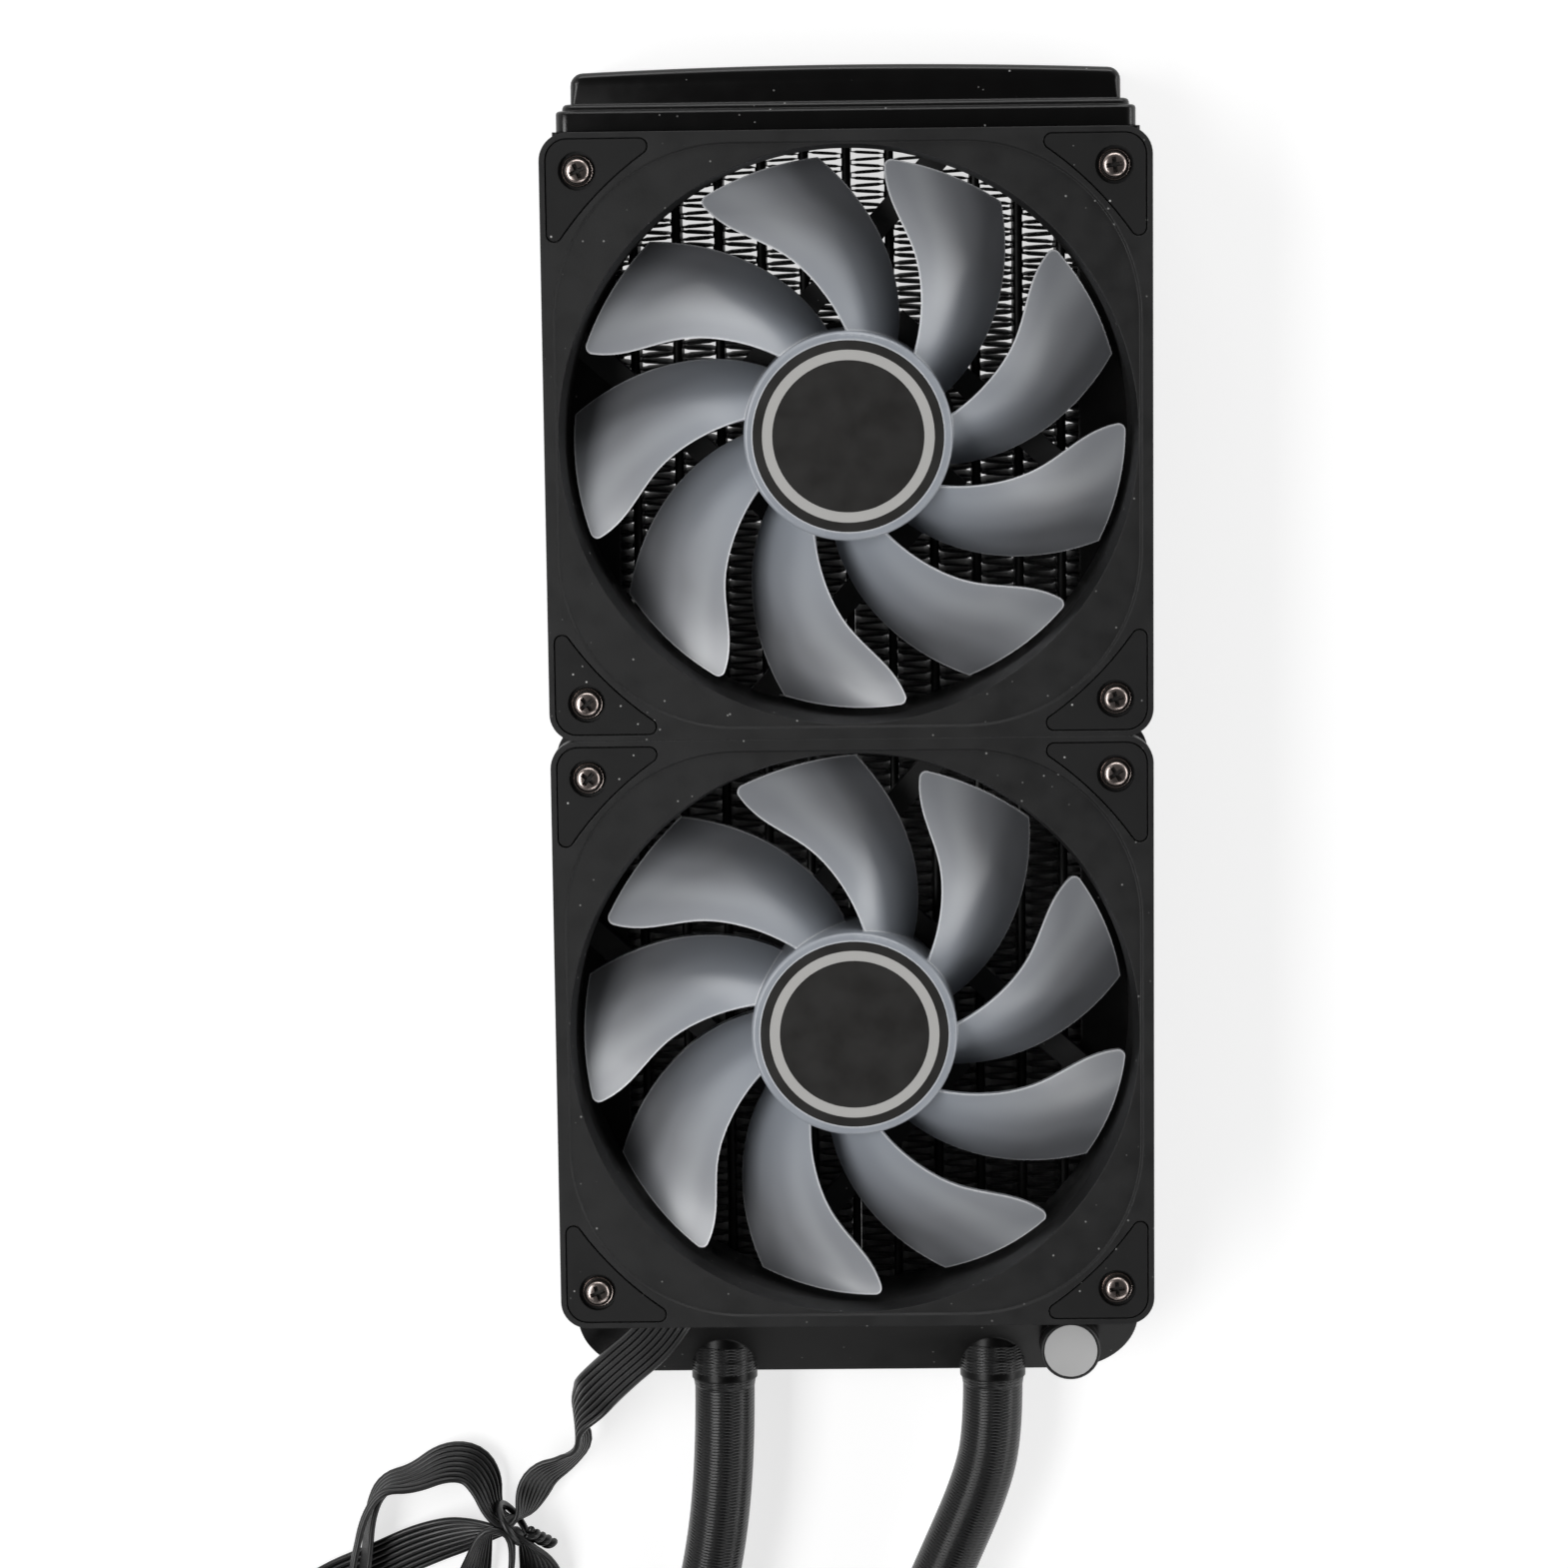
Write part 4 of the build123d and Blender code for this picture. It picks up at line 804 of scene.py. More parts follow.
# Painted shade: a dark finish put in the screws' cross recesses and washer grooves, where only shade falls.
SCREW_PAINTED_SHADE = Finish("screw_painted_shade", (0.012, 0.010, 0.009), roughness=0.5)
SCREW_METAL = Finish("black_nickel", (0.34, 0.29, 0.27), roughness=0.24, metallic=1.0, grain=Grain.TURNED,
                     grain_height=0.00001)
STEEL = Finish("plain_steel", (0.50, 0.50, 0.51), roughness=0.32, metallic=1.0, grain=Grain.TURNED)
IRON = Finish("stamped_iron", (0.20, 0.20, 0.21), roughness=0.45, metallic=1.0)
MAGNET = Finish("magnet_black", (0.05, 0.05, 0.055), roughness=0.6)
BRASS = Finish("turned_brass", (0.62, 0.44, 0.18), roughness=0.3, metallic=1.0, grain=Grain.TURNED)
COPPER = Finish("copper", (0.72, 0.34, 0.20), roughness=0.28, metallic=1.0, grain=Grain.TURNED)
BOARD = Finish("board_lacquer", (0.02, 0.09, 0.035), roughness=0.35)
PALE_PLASTIC = Finish("pale_plastic", (0.62, 0.60, 0.55), roughness=0.5)
STICKER = Finish("bare_sticker", (0.45, 0.45, 0.45), roughness=0.5, variation=0.04, grain_height=0.00001)
CABLE_SKIN = Finish("cable_skin", (0.0045, 0.0045, 0.0047), roughness=0.36, grain_height=0.00001)
HOSE_SLEEVE = Sleeve("hose_sleeve", (0.0016, 0.0016, 0.0017), roughness=0.27, specular=0.3)


# Sub-assemblies


@dataclass(frozen=True)
class SoftBox:
    """One soft lamp: where it hangs, what it points at, its width and length in metres and its watts."""

    name: str
    place: Point
    aim: Point
    sides: tuple[float, float]
    power: float

    def hang(self) -> None:
        """Hangs the lamp, with its length as near along Y as it goes."""
        data = bpy.data.lights.new(self.name, "AREA")
        data.shape = "RECTANGLE"
        data.size, data.size_y = self.sides
        data.energy = self.power
        lamp = added(self.name, data)
        back = (Vector(self.place) - Vector(self.aim)).normalized()
        across = Vector((0.0, 1.0, 0.0)).cross(back).normalized()
        turn = Matrix((across, back.cross(across), back)).transposed().to_4x4()
        lamp.matrix_world = Matrix.Translation(self.place) @ turn


@dataclass
class Studio:
    """The pale floor, the soft lights and the camera."""

    camera_place: Point = (0.00287, 0.12190, 0.96560)
    camera_right: Point = (0.99979, -0.01251, -0.01615)
    camera_up: Point = (0.01009, 0.98982, -0.14195)
    clip: tuple[float, float] = (0.01, 20.0)
    frame_pixels: float = 1569.0
    focal_pixels: float = 4640.0
    sensor: float = 36.0
    floor_half: float = 2.2
    floor_glow: float = 0.70
    floor_roughness: float = 0.9
    floor_colour: Colour = (0.42, 0.42, 0.42)
    overhead: float = 0.10
    horizon: float = 0.9
    near_side: float = 0.45
    wall_heights: tuple[float, float] = (0.15, 0.9)
    near_reach: tuple[float, float] = (-0.6, 0.3)
    lamps: tuple[SoftBox, ...] = (
        SoftBox("left_box", (-0.95, -0.15, 1.3), (0.0, -0.05, 0.03), (0.6, 1.5), 19.0),
        SoftBox("right_box", (1.5, -0.1, 0.5), (0.0, -0.05, 0.03), (0.4, 1.6), 9.0),
        SoftBox("far_box", (0.1, 1.5, 0.55), (0.0, 0.1, 0.03), (1.6, 0.4), 9.0),
        SoftBox("near_box", (0.7, -1.5, 0.8), (0.0, -0.05, 0.03), (1.4, 0.5), 6.0),
    )

    def make_camera(self) -> None:
        """Sets the camera at the photograph's viewing angle."""
        data = bpy.data.cameras.new("camera")
        data.sensor_width = self.sensor
        data.lens = self.focal_pixels / self.frame_pixels * self.sensor
        data.clip_start, data.clip_end = self.clip
        camera = added("camera", data)
        right = Vector(self.camera_right).normalized()
        up = Vector(self.camera_up).normalized()
        turn = Matrix((right, up, right.cross(up))).transposed().to_4x4()
        camera.matrix_world = Matrix.Translation(self.camera_place) @ turn
        bpy.context.scene.camera = camera

    def floor_material(self) -> bpy.types.Material:
        """Builds the floor's finish, which looks white and still takes the object's shadow.

        Returns:
            The material.
        """
        shader = ShaderBuilder("studio_floor")
        shader.surface.inputs["Base Color"].default_value = (*self.floor_colour, 1.0)
        shader.value("Roughness", self.floor_roughness)
        shader.value("Specular IOR Level", 0.0)
        rays = shader.rays().outputs
        seen = shader.combined("MAXIMUM", rays["Is Camera Ray"], rays["Is Glossy Ray"])
        seen = shader.combined("MAXIMUM", seen, rays["Is Transmission Ray"])
        glow = shader.tree.nodes.new("ShaderNodeEmission")
        shader.link(shader.combined("MULTIPLY", seen, self.floor_glow), glow.inputs["Strength"])
        both = shader.tree.nodes.new("ShaderNodeAddShader")
        shader.link(shader.surface.outputs["BSDF"], both.inputs[0])
        shader.link(glow.outputs["Emission"], both.inputs[1])
        shader.link(both.outputs["Shader"], shader.output.inputs["Surface"])
        return shader.material

    def make_floor(self) -> None:
        """Lays the floor that the cooler lies on."""
        half = self.floor_half
        corners = [(-half, -half, 0), (half, -half, 0), (half, half, 0), (-half, half, 0)]
        mesh = bpy.data.meshes.new("floor")
        mesh.from_pydata(corners, [], [(0, 1, 2, 3)])
        mesh.materials.append(self.floor_material())
        floor = added("floor", mesh)

    def make_world(self) -> None:
        """Surrounds the object with a dim ceiling and pale walls, white where the camera looks past the floor."""
        world = bpy.data.worlds.new("studio")
        bpy.context.scene.world = world
        world.use_nodes = True
        nodes = NodeBuilder(world.node_tree)
        place = nodes.parts(nodes.coordinates("Generated"))
        level = nodes.rescaled(place["Z"], self.wall_heights, (self.horizon, self.overhead), smooth=True)
        side = nodes.rescaled(place["Y"], self.near_reach, (self.near_side, 1.0))
        light = nodes.combined("MULTIPLY", level, side)
        seen = nodes.combined("MAXIMUM", nodes.rays().outputs["Is Camera Ray"], light)
        back = world.node_tree.nodes["Background"]
        back.inputs["Color"].default_value = (1.0, 1.0, 1.0, 1.0)
        nodes.link(seen, back.inputs["Strength"])

    def build(self) -> None:
        """Makes the whole studio."""
        self.make_camera()
        self.make_floor()
        self.make_world()
        for lamp in self.lamps:
            lamp.hang()
        bpy.context.scene.view_settings.view_transform = "Standard"
        LOG.info("studio ready")


def sleeve_tube(name: str, line: np.ndarray, radii: np.ndarray, ring_step: float,
                around: int = 40) -> bpy.types.Object:
    """Makes a sleeved tube whose surface coordinates are metres along and metres round.

    Args:
        name: The piece's name.
        line: Its centreline, one point per row.
        radii: Its radius at each point.
        ring_step: The distance between the points.
        around: The number of corners round it.

    Returns:
        The tube's object.
    """
    side, up = line_frames(line)
    rings = ring_corners(line, radii, side, up, around)
    piece = mesh_piece(name, rings, tube_faces(len(line), around), HOSE_SLEEVE)
    layer = piece.data.uv_layers.new(name="along_and_round")
    girth = 2 * math.pi * float(radii.mean())
    for polygon in piece.data.polygons:
        numbers = [piece.data.loops[loop].vertex_index for loop in polygon.loop_indices]
        wraps = max(number % around for number in numbers) == around - 1
        for loop, number in zip(polygon.loop_indices, numbers):
            ring, place = divmod(number, around)
            if wraps and place == 0 and len(numbers) == 4:
                place = around
            layer.data[loop].uv = (ring * ring_step, place / around * girth)
    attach(piece, CHASSIS)
    return piece


@dataclass
class Hose:
    """One sleeved hose from the radiator's neck to the pump's neck, and the sleeve's cuff on the neck."""

    name: str
    route: Route
    real_length: float
    diameter: float = 12.6 * MM
    ring_step: float = 1.0 * MM
    cuff_start: float = -133.0
    cuff_end: float = -142.4
    cuff_step: float = 0.4
    cuff_gap: float = 0.05
    cuff_taper: float = 3.6
    neck_radius: float = 6.95
    bead_place: float = -136.6
    bead_width: float = 0.35
    bead_height: float = 0.12

    def build(self) -> None:
        line = even_line(self.route.centreline(), self.ring_step)
        piece = sleeve_tube(self.name + "_sleeve", line, np.full(len(line), self.diameter / 2), self.ring_step)
        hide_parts(self.name)
        LOG.info("%s is %.4f m long", self.name, distances(line)[-1])

    def build_cuff(self) -> None:
        """Pulls the sleeve's end over the neck, with a small bead where it starts."""
        count = int(round((self.cuff_start - self.cuff_end) / self.cuff_step)) + 1
        ys = np.linspace(self.cuff_start, self.cuff_end, count)
        x, _, z = self.route.points[0]
        line = np.column_stack([np.full(count, x), ys, np.full(count, z)]) * MM
        hose_radius = self.diameter / MM / 2 + self.cuff_gap
        taper = (self.cuff_end, self.cuff_end + self.cuff_taper)
        slope = np.interp(ys, taper, (hose_radius, self.neck_radius))
        bead = self.bead_height * np.exp(-((ys - self.bead_place) / self.bead_width) ** 2)
        piece = sleeve_tube(self.name + "_cuff", line, (slope + bead) * MM, self.cuff_step * MM)
        LOG.info("%s made", piece.name)


LEFT_HOSE = Hose("hose_left", Route("hose_left", (
    (-28.3, -140.6, 13.5), (-28.3, -163.0, 13.5), (-33.5, -194.0, 9.8), (-44.0, -232.0, 6.8),
    (-57.5, -273.0, 6.4), (-69.0, -314.0, 6.4), (-74.8, -356.0, 8.5), (-74.0, -398.0, 17.0),
    (-74.0, -439.0, 17.0),
)), real_length=0.305)
RIGHT_HOSE = Hose("hose_right", Route("hose_right", (
    (28.3, -140.6, 13.5), (28.3, -153.0, 13.5), (25.7, -165.0, 13.0), (17.6, -184.0, 11.6),
    (3.5, -217.0, 8.6), (-12.5, -255.0, 6.4), (-27.5, -295.0, 6.4), (-39.5, -335.0, 6.6),
    (-46.0, -372.0, 9.5), (-46.0, -406.0, 17.0), (-46.0, -439.0, 17.0),
)), real_length=0.312)


@dataclass
class FanCable:
    """The flat lead of eight wires: out of the fan, through the tie, round its loops and into its plug."""

    route: Route
    rolls: tuple[float, ...]
    gaps: tuple[float, ...]
    wires: int = 8
    loose_wires: int = 2
    wire_diameter: float = 1.3 * MM
    pitch: float = 1.24 * MM
    real_length: float = 0.42
    ring_step: float = 1.2 * MM
    smoothing: int = 9
    around: int = 10

    def width(self) -> float:
        """Gives the flat cable's width."""
        return (self.wires - 1) * self.pitch + self.wire_diameter

    def along(self, line: np.ndarray, values: Sequence[float]) -> np.ndarray:
        """Spreads a value given at each route point over the cable's line.

        Args:
            line: The cable's centreline in metres.
            values: One value for each of the route's points.

        Returns:
            One value for each point of the line.
        """
        far = distances(np.array(self.route.points) * MM)
        even = np.interp(np.linspace(0.0, 1.0, len(line)), far / far[-1], values)
        window = np.hanning(self.smoothing)
        return np.convolve(np.pad(even, self.smoothing // 2, mode="edge"), window / window.sum(), mode="valid")

    def build(self, tie: bpy.types.Object) -> None:
        """Args:
            tie: The wire tie round it. Not used.
        """
        line = even_line(self.route.centreline(), self.ring_step)
        side, up = line_frames(line)
        roll = np.radians(self.along(line, self.rolls))[:, None]
        gap = self.along(line, self.gaps)[:, None] * MM
        across = np.cos(roll) * side + np.sin(roll) * up
        over = np.cos(roll) * up - np.sin(roll) * side
        form = Form()
        for wire in range(self.wires):
            middle = line + (wire - (self.wires - 1) / 2) * self.pitch * across
            if wire >= self.wires - self.loose_wires:
                middle = middle - gap * side
            rings = ring_corners(middle, self.wire_diameter / 2, across, over, self.around)
            rings[:, 2] = np.maximum(rings[:, 2], 0.0)
            form.add(rings, tube_faces(len(line), self.around))
        piece = mesh_piece("flat_fan_cable", np.concatenate(form.corners), form.faces, CABLE_SKIN)
        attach(piece, CHASSIS)
        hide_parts("fan_cable", "cable_hank")
        LOG.info("fan cable is %.4f m long", distances(line)[-1])


# Each row is a point of the cable's line, its roll there in degrees and how far its loose wires stray.
CABLE_STEPS = (
    (-32.6, -112.2, 36.0, 0.0, 0.0), (-38.0, -120.6, 36.0, 0.0, 0.0), (-42.5, -128.0, 32.0, 0.0, 0.0),
    (-50.5, -136.5, 24.0, 0.0, 0.0), (-56.5, -144.0, 16.0, 10.0, 0.0), (-60.6, -150.5, 11.0, 70.0, 0.0),
    (-58.8, -157.0, 8.0, 110.0, 0.0), (-63.0, -161.4, 6.4, 118.0, 0.0), (-68.2, -164.2, 6.0, 136.0, 0.0),
    (-70.2, -168.6, 5.6, 138.0, 0.0), (-72.2, -173.4, 6.2, 110.0, 0.0), (-76.2, -175.0, 6.4, 92.0, 0.0),
    (-78.8, -171.2, 6.4, 75.0, 0.0), (-79.8, -165.8, 6.4, 55.0, 0.0), (-82.8, -161.4, 6.2, 42.0, 0.0),
    (-88.6, -161.0, 6.2, 48.0, 0.0),
    (-95.5, -165.0, 6.4, 64.0, 0.4), (-102.0, -166.2, 6.4, 72.0, 1.2), (-104.8, -172.6, 6.4, 74.0, 2.4),
    (-105.6, -182.0, 6.2, 74.0, 3.6), (-108.0, -194.5, 6.0, 74.0, 3.6), (-113.5, -205.5, 6.0, 80.0, 1.5),
    (-123.5, -206.0, 5.0, 60.0, 0.0), (-125.5, -196.5, 3.0, 20.0, 0.0), (-114.6, -189.6, 1.6, 4.0, 0.0),
    (-103.7, -185.2, 1.4, 2.0, 0.0), (-95.8, -181.4, 1.6, 6.0, 0.0), (-87.6, -178.4, 2.6, 22.0, 0.0),
    (-79.0, -176.6, 4.4, 60.0, 0.0), (-73.6, -176.4, 5.8, 90.0, 0.0), (-70.4, -180.6, 4.6, 50.0, 0.0),
    (-68.6, -187.0, 2.4, 14.0, 0.0), (-68.0, -200.0, 1.2, 0.0, 0.0), (-68.4, -218.0, 1.4, 20.0, 0.0),
    (-69.4, -228.0, 5.8, 88.0, 0.0), (-74.4, -232.4, 5.8, 92.0, 0.0), (-79.4, -228.0, 5.8, 92.0, 0.0),
    (-79.8, -214.0, 5.8, 92.0, 0.0), (-77.0, -196.0, 5.8, 90.0, 0.0), (-74.4, -183.0, 6.4, 92.0, 0.0),
    (-75.2, -175.4, 7.2, 96.0, 0.0), (-80.4, -175.2, 7.2, 104.0, 0.0), (-82.2, -182.6, 6.4, 125.0, 0.0),
    (-84.6, -191.0, 4.0, 150.0, 0.0), (-86.2, -206.0, 2.2, 176.0, 0.0),
    (-86.0, -226.0, 3.0, 180.0, 0.0), (-86.0, -244.9, 3.0, 180.0, 0.0),
)
FAN_CABLE = FanCable(
    Route("fan_cable", tuple(step[:3] for step in CABLE_STEPS)),
    rolls=tuple(step[3] for step in CABLE_STEPS),
    gaps=tuple(step[4] for step in CABLE_STEPS),
)


@dataclass
class WireTie:
    """The round wire tie: a ring of wire round the bunched cable, and its two ends twisted together."""

    place: Point = (-74.6, -174.6, 6.1)
    heading: float = 55.0
    half_width: float = 4.6
    half_height: float = 5.3
    wire_radius: float = 0.8
    tail_start: Point = (-70.8, -176.0, 9.0)
    tail_end: Point = (-66.4, -180.4, 3.0)
    twist_radius: float = 0.75
    twist_turns: float = 2.0
    ring_turns: float = 1.08
    ring_drift: float = 0.9
    lean: Point = (0.31, 0.17, 0.93)
    steps: int = 40
    around: int = 10

    def tube(self, line: np.ndarray) -> np.ndarray:
        """Gives a wire's corners along a line.

        Args:
            line: The wire's centreline, one point per row.

        Returns:
            The corners, ring by ring.
        """
        ahead = unit(np.gradient(line, axis=0))
        side = unit(np.cross(ahead, np.array(self.lean)))
        return ring_corners(line, self.wire_radius, side, np.cross(side, ahead), self.around)

    def ring_line(self) -> np.ndarray:
        """Follows the ring once round the cable, and a little past its start.

        Returns:
            The line's points, one per row.
        """
        turn = np.linspace(0.0, 2 * math.pi * self.ring_turns, self.steps)
        across = np.array([math.cos(math.radians(self.heading)), -math.sin(math.radians(self.heading)), 0.0])
        along = np.array([-across[1], across[0], 0.0])
        drift = np.linspace(-self.ring_drift, self.ring_drift, self.steps)
        return (np.array(self.place) + self.half_width * np.cos(turn)[:, None] * across
                + self.half_height * np.sin(turn)[:, None] * UP + drift[:, None] * along)

    def tail_line(self, phase: float) -> np.ndarray:
        """Follows one of the two twisted ends.

        Args:
            phase: The angle at which the end starts to twist.

        Returns:
            The line's points, one per row.
        """
        start, end = np.array(self.tail_start), np.array(self.tail_end)
        ahead = (end - start) / np.linalg.norm(end - start)
        side = np.cross(ahead, UP)
        side /= np.linalg.norm(side)
        over = np.cross(side, ahead)
        share = np.linspace(0.0, 1.0, self.steps)
        turn = phase + share * 2 * math.pi * self.twist_turns
        return (start + share[:, None] * (end - start) + self.twist_radius * np.cos(turn)[:, None] * side
                + self.twist_radius * np.sin(turn)[:, None] * over)

    def build(self) -> bpy.types.Object:
        """Makes the tie.

        Returns:
            The tie's object.
        """
        form = Form()
        for line in (self.ring_line(), self.tail_line(0.0), self.tail_line(math.pi)):
            form.add(self.tube(line), tube_faces(len(line), self.around))
        piece = mesh_piece("wire_tie", np.concatenate(form.corners) * MM, form.faces, CABLE_SKIN)
        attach(piece, CHASSIS)
        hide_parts("cable_tie")
        LOG.info("wire tie made")
        return piece


@dataclass
class FinCore:
    """The close folded fins between the tubes, thick in the middle where their louvres stand out."""

    tube_count: int = 13
    tube_pitch: float = 8.65
    tube_thickness: float = 1.8
    core_length: float = 240.0
    header: float = 1.5
    wall_inside: float = 57.8
    low: float = 5.5
    high: float = 21.5
    slat_pitch: float = 1.3
    climb: float = 0.4
    wall_gap: float = 0.12
    end_thickness: float = 0.16
    middle_thickness: float = 0.52
    shoulder: float = 0.9
    shares: tuple[float, ...] = (0.0, 0.075, 0.17, 0.5, 0.83, 0.925, 1.0)
    stray: float = 0.07
    seed: int = 7

    def rows(self) -> list[tuple[float, float]]:
        """Gives each gap between two walls, from side to side.

        Returns:
            The left and right wall of each gap.
        """
        first = -(self.tube_count - 1) / 2 * self.tube_pitch
        half = self.tube_thickness / 2
        middles = [first + index * self.tube_pitch for index in range(self.tube_count)]
        lefts = [-self.wall_inside] + [middle + half for middle in middles]
        rights = [middle - half for middle in middles] + [self.wall_inside]
        return list(zip(lefts, rights))

    def row_path(self, left: float, right: float, chance: random.Random) -> tuple[np.ndarray, np.ndarray]:
        """Follows one folded strip to and fro.

        Args:
            left: The row's left wall.
            right: Its right wall.
            chance: The source of the small unevenness.

        Returns:
            The path's points and the strip's half thickness at each.
        """
        span = self.core_length - 2 * self.header - self.middle_thickness - self.slat_pitch
        folds = int(span / self.slat_pitch)
        step = span / folds
        thin, full, most = self.end_thickness, self.middle_thickness, self.middle_thickness * self.shoulder
        thick = (thin, thin, most, full, most, thin, thin)
        points: list[tuple[float, float]] = []
        halves: list[float] = []
        for index in range(folds):
            near, far = (left, right) if index % 2 else (right, left)
            height = index * step - span / 2 + chance.uniform(-self.stray, self.stray)
            for share, width in zip(self.shares, thick):
                points.append((near + (far - near) * share, height + self.climb * share))
                halves.append(width / 2)
        return np.array(points), np.array(halves)

    def build(self) -> None:
        """Makes all rows of fins as one piece."""
        chance = random.Random(self.seed)
        form = Form()
        for left, right in self.rows():
            points, halves = self.row_path(left + self.wall_gap, right - self.wall_gap, chance)
            ahead = unit(np.gradient(points, axis=0))
            aside = np.column_stack([-ahead[:, 1], ahead[:, 0]]) * halves[:, None]
            count = len(points)
            corners = [np.column_stack([points + sign * aside, np.full(count, z)])
                       for z in (self.low, self.high) for sign in (-1, 1)]
            a, b, c, d = (row * count for row in range(4))
            faces: list[tuple[int, ...]] = []
            for i in range(count - 1):
                j = i + 1
                faces += [(a + i, b + i, b + j, a + j), (c + i, c + j, d + j, d + i),
                          (a + i, a + j, c + j, c + i), (b + i, d + i, d + j, b + j)]
            last = count - 1
            faces += [(a, c, d, b), (a + last, b + last, d + last, c + last)]
            form.add(np.concatenate(corners), faces)
        piece = mesh_piece("folded_fins", np.concatenate(form.corners) * MM, form.faces, CORE_PAINT, smooth=False)
        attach(piece, CHASSIS)
        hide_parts("core_fins")
        LOG.info("fins have %d faces", len(form.faces))


def dress(nodes: dict[str, bpy.types.Object], finishes: dict[str, Finish], prefix: str = "") -> None:
    """Gives construction pieces their finishes and leaves their shape alone.

    Args:
        nodes: The construction's pieces by name.
        finishes: The finish of each piece, by its name after the prefix.
        prefix: What those names start with.
    """
    for name, finish in finishes.items():
        piece = nodes[prefix + name]
        piece.data.materials.clear()
        piece.data.materials.append(finish.material())


@dataclass
class CrossScrews:
    """The four cross-head screws of one fan, each head with its washer rim and recess, and painted shade in the
    cross recess and in the groove inside the rim.
    """

    name: str
    centre_y: float
    turns: tuple[float, ...]
    spacing: float = 52.5
    around: int = 48
    cross_reach: float = 1.7
    cross_half: float = 0.46
    cross_top: float = 53.3
    cross_floor: float = 52.0
    cross_taper: float = 0.62
    shade_inside: float = 1.15
    shade_below: float = 0.02
    groove: Point = (2.4, 2.75, 51.4)
    sharp_angle: float = 35.0
    profile: tuple[tuple[float, float], ...] = (
        (1.5, 24.0), (1.5, 50.8), (3.0, 50.8), (3.15, 50.95), (3.15, 51.35), (3.0, 51.5), (2.85, 51.46),
        (2.66, 51.15), (2.5, 51.15), (2.5, 52.0), (2.42, 52.4), (2.2, 52.72), (1.8, 52.92), (1.2, 53.0),
    )

    def turned_head(self) -> bpy.types.Object:
        """Makes one whole screw about its axis, without the recess.

        Returns:
            The screw's object.
        """
        angles = once_round(self.around)
        rings = [np.column_stack([radius * np.cos(angles), radius * np.sin(angles), np.full(self.around, z)])
                 for radius, z in self.profile]
        faces = tube_faces(len(rings), self.around)
        return mesh_piece(self.name + "_screw_blank", np.concatenate(rings), faces, SCREW_METAL)

    def cross_cutter(self) -> bpy.types.Object:
        """Makes the tapered cross that is cut out of a head.

        Returns:
            The cross's object.
        """
        reach, half = self.cross_reach, self.cross_half
        plus = [(reach, -half), (reach, half), (half, half), (half, reach), (-half, reach), (-half, half),
                (-reach, half), (-reach, -half), (-half, -half), (-half, -reach), (half, -reach), (half, -half)]
        outline = np.array(plus)
        low = np.column_stack([outline * self.cross_taper, np.full(len(plus), self.cross_floor)])
        high = np.column_stack([outline, np.full(len(plus), self.cross_top)])
        faces = tube_faces(2, len(plus))
        return mesh_piece(self.name + "_screw_cutter", np.concatenate([low, high]), faces, SCREW_METAL)

    def recessed(self) -> tuple[np.ndarray, list[tuple[int, ...]]]:
        """Cuts the cross out of the head.

        Returns:
            The corners in millimetres and the faces.
        """
        blank, cutter = self.turned_head(), self.cross_cutter()
        cut = blank.modifiers.new("recess", "BOOLEAN")
        cut.operation = "DIFFERENCE"
        cut.solver = "EXACT"
        cut.object = cutter
        bpy.context.view_layer.update()
        mesh = bpy.data.meshes.new_from_object(blank.evaluated_get(bpy.context.evaluated_depsgraph_get()))
        corners = np.array([vertex.co for vertex in mesh.vertices], float)
        faces = [tuple(polygon.vertices) for polygon in mesh.polygons]
        for piece in (blank, cutter):
            bpy.data.objects.remove(piece)
        bpy.data.meshes.remove(mesh)
        return corners, faces

    def build(self) -> None:
        """Sets the four screws in their corners."""
        head, head_faces = self.recessed()
        form = Form()
        places = [(-1, 1), (1, 1), (-1, -1), (1, -1)]
        for (x, y), turn in zip(places, self.turns):
            angle = math.radians(turn)
            spin = np.array([[math.cos(angle), -math.sin(angle)], [math.sin(angle), math.cos(angle)]])
            placed = head.copy()
            placed[:, :2] = head[:, :2] @ spin.T + (x * self.spacing, self.centre_y / MM + y * self.spacing)
            form.add(placed, head_faces)
        corners = np.concatenate(form.corners)
        piece = mesh_piece(self.name + "_cross_screws", corners * MM, form.faces, SCREW_METAL)
        piece.data.materials.append(SCREW_PAINTED_SHADE.material())
        for polygon in piece.data.polygons:
            middle = corners[list(polygon.vertices)].mean(axis=0)
            off_x = abs(middle[0]) - self.spacing
            off_y = abs(middle[1] - self.centre_y / MM) - self.spacing
            out = math.hypot(off_x, off_y)
            # The cross recess and the groove inside the washer rim take the painted shade finish.
            recess = out < self.shade_inside and middle[2] < self.profile[-1][1] - self.shade_below
            groove = self.groove[0] < out < self.groove[1] and middle[2] < self.groove[2]
            polygon.material_index = int(recess or groove)
        piece.data.set_sharp_from_angle(angle=math.radians(self.sharp_angle))
        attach(piece, CHASSIS)
        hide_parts(self.name + "_fan_screws")
        LOG.info("%s screws made", self.name)


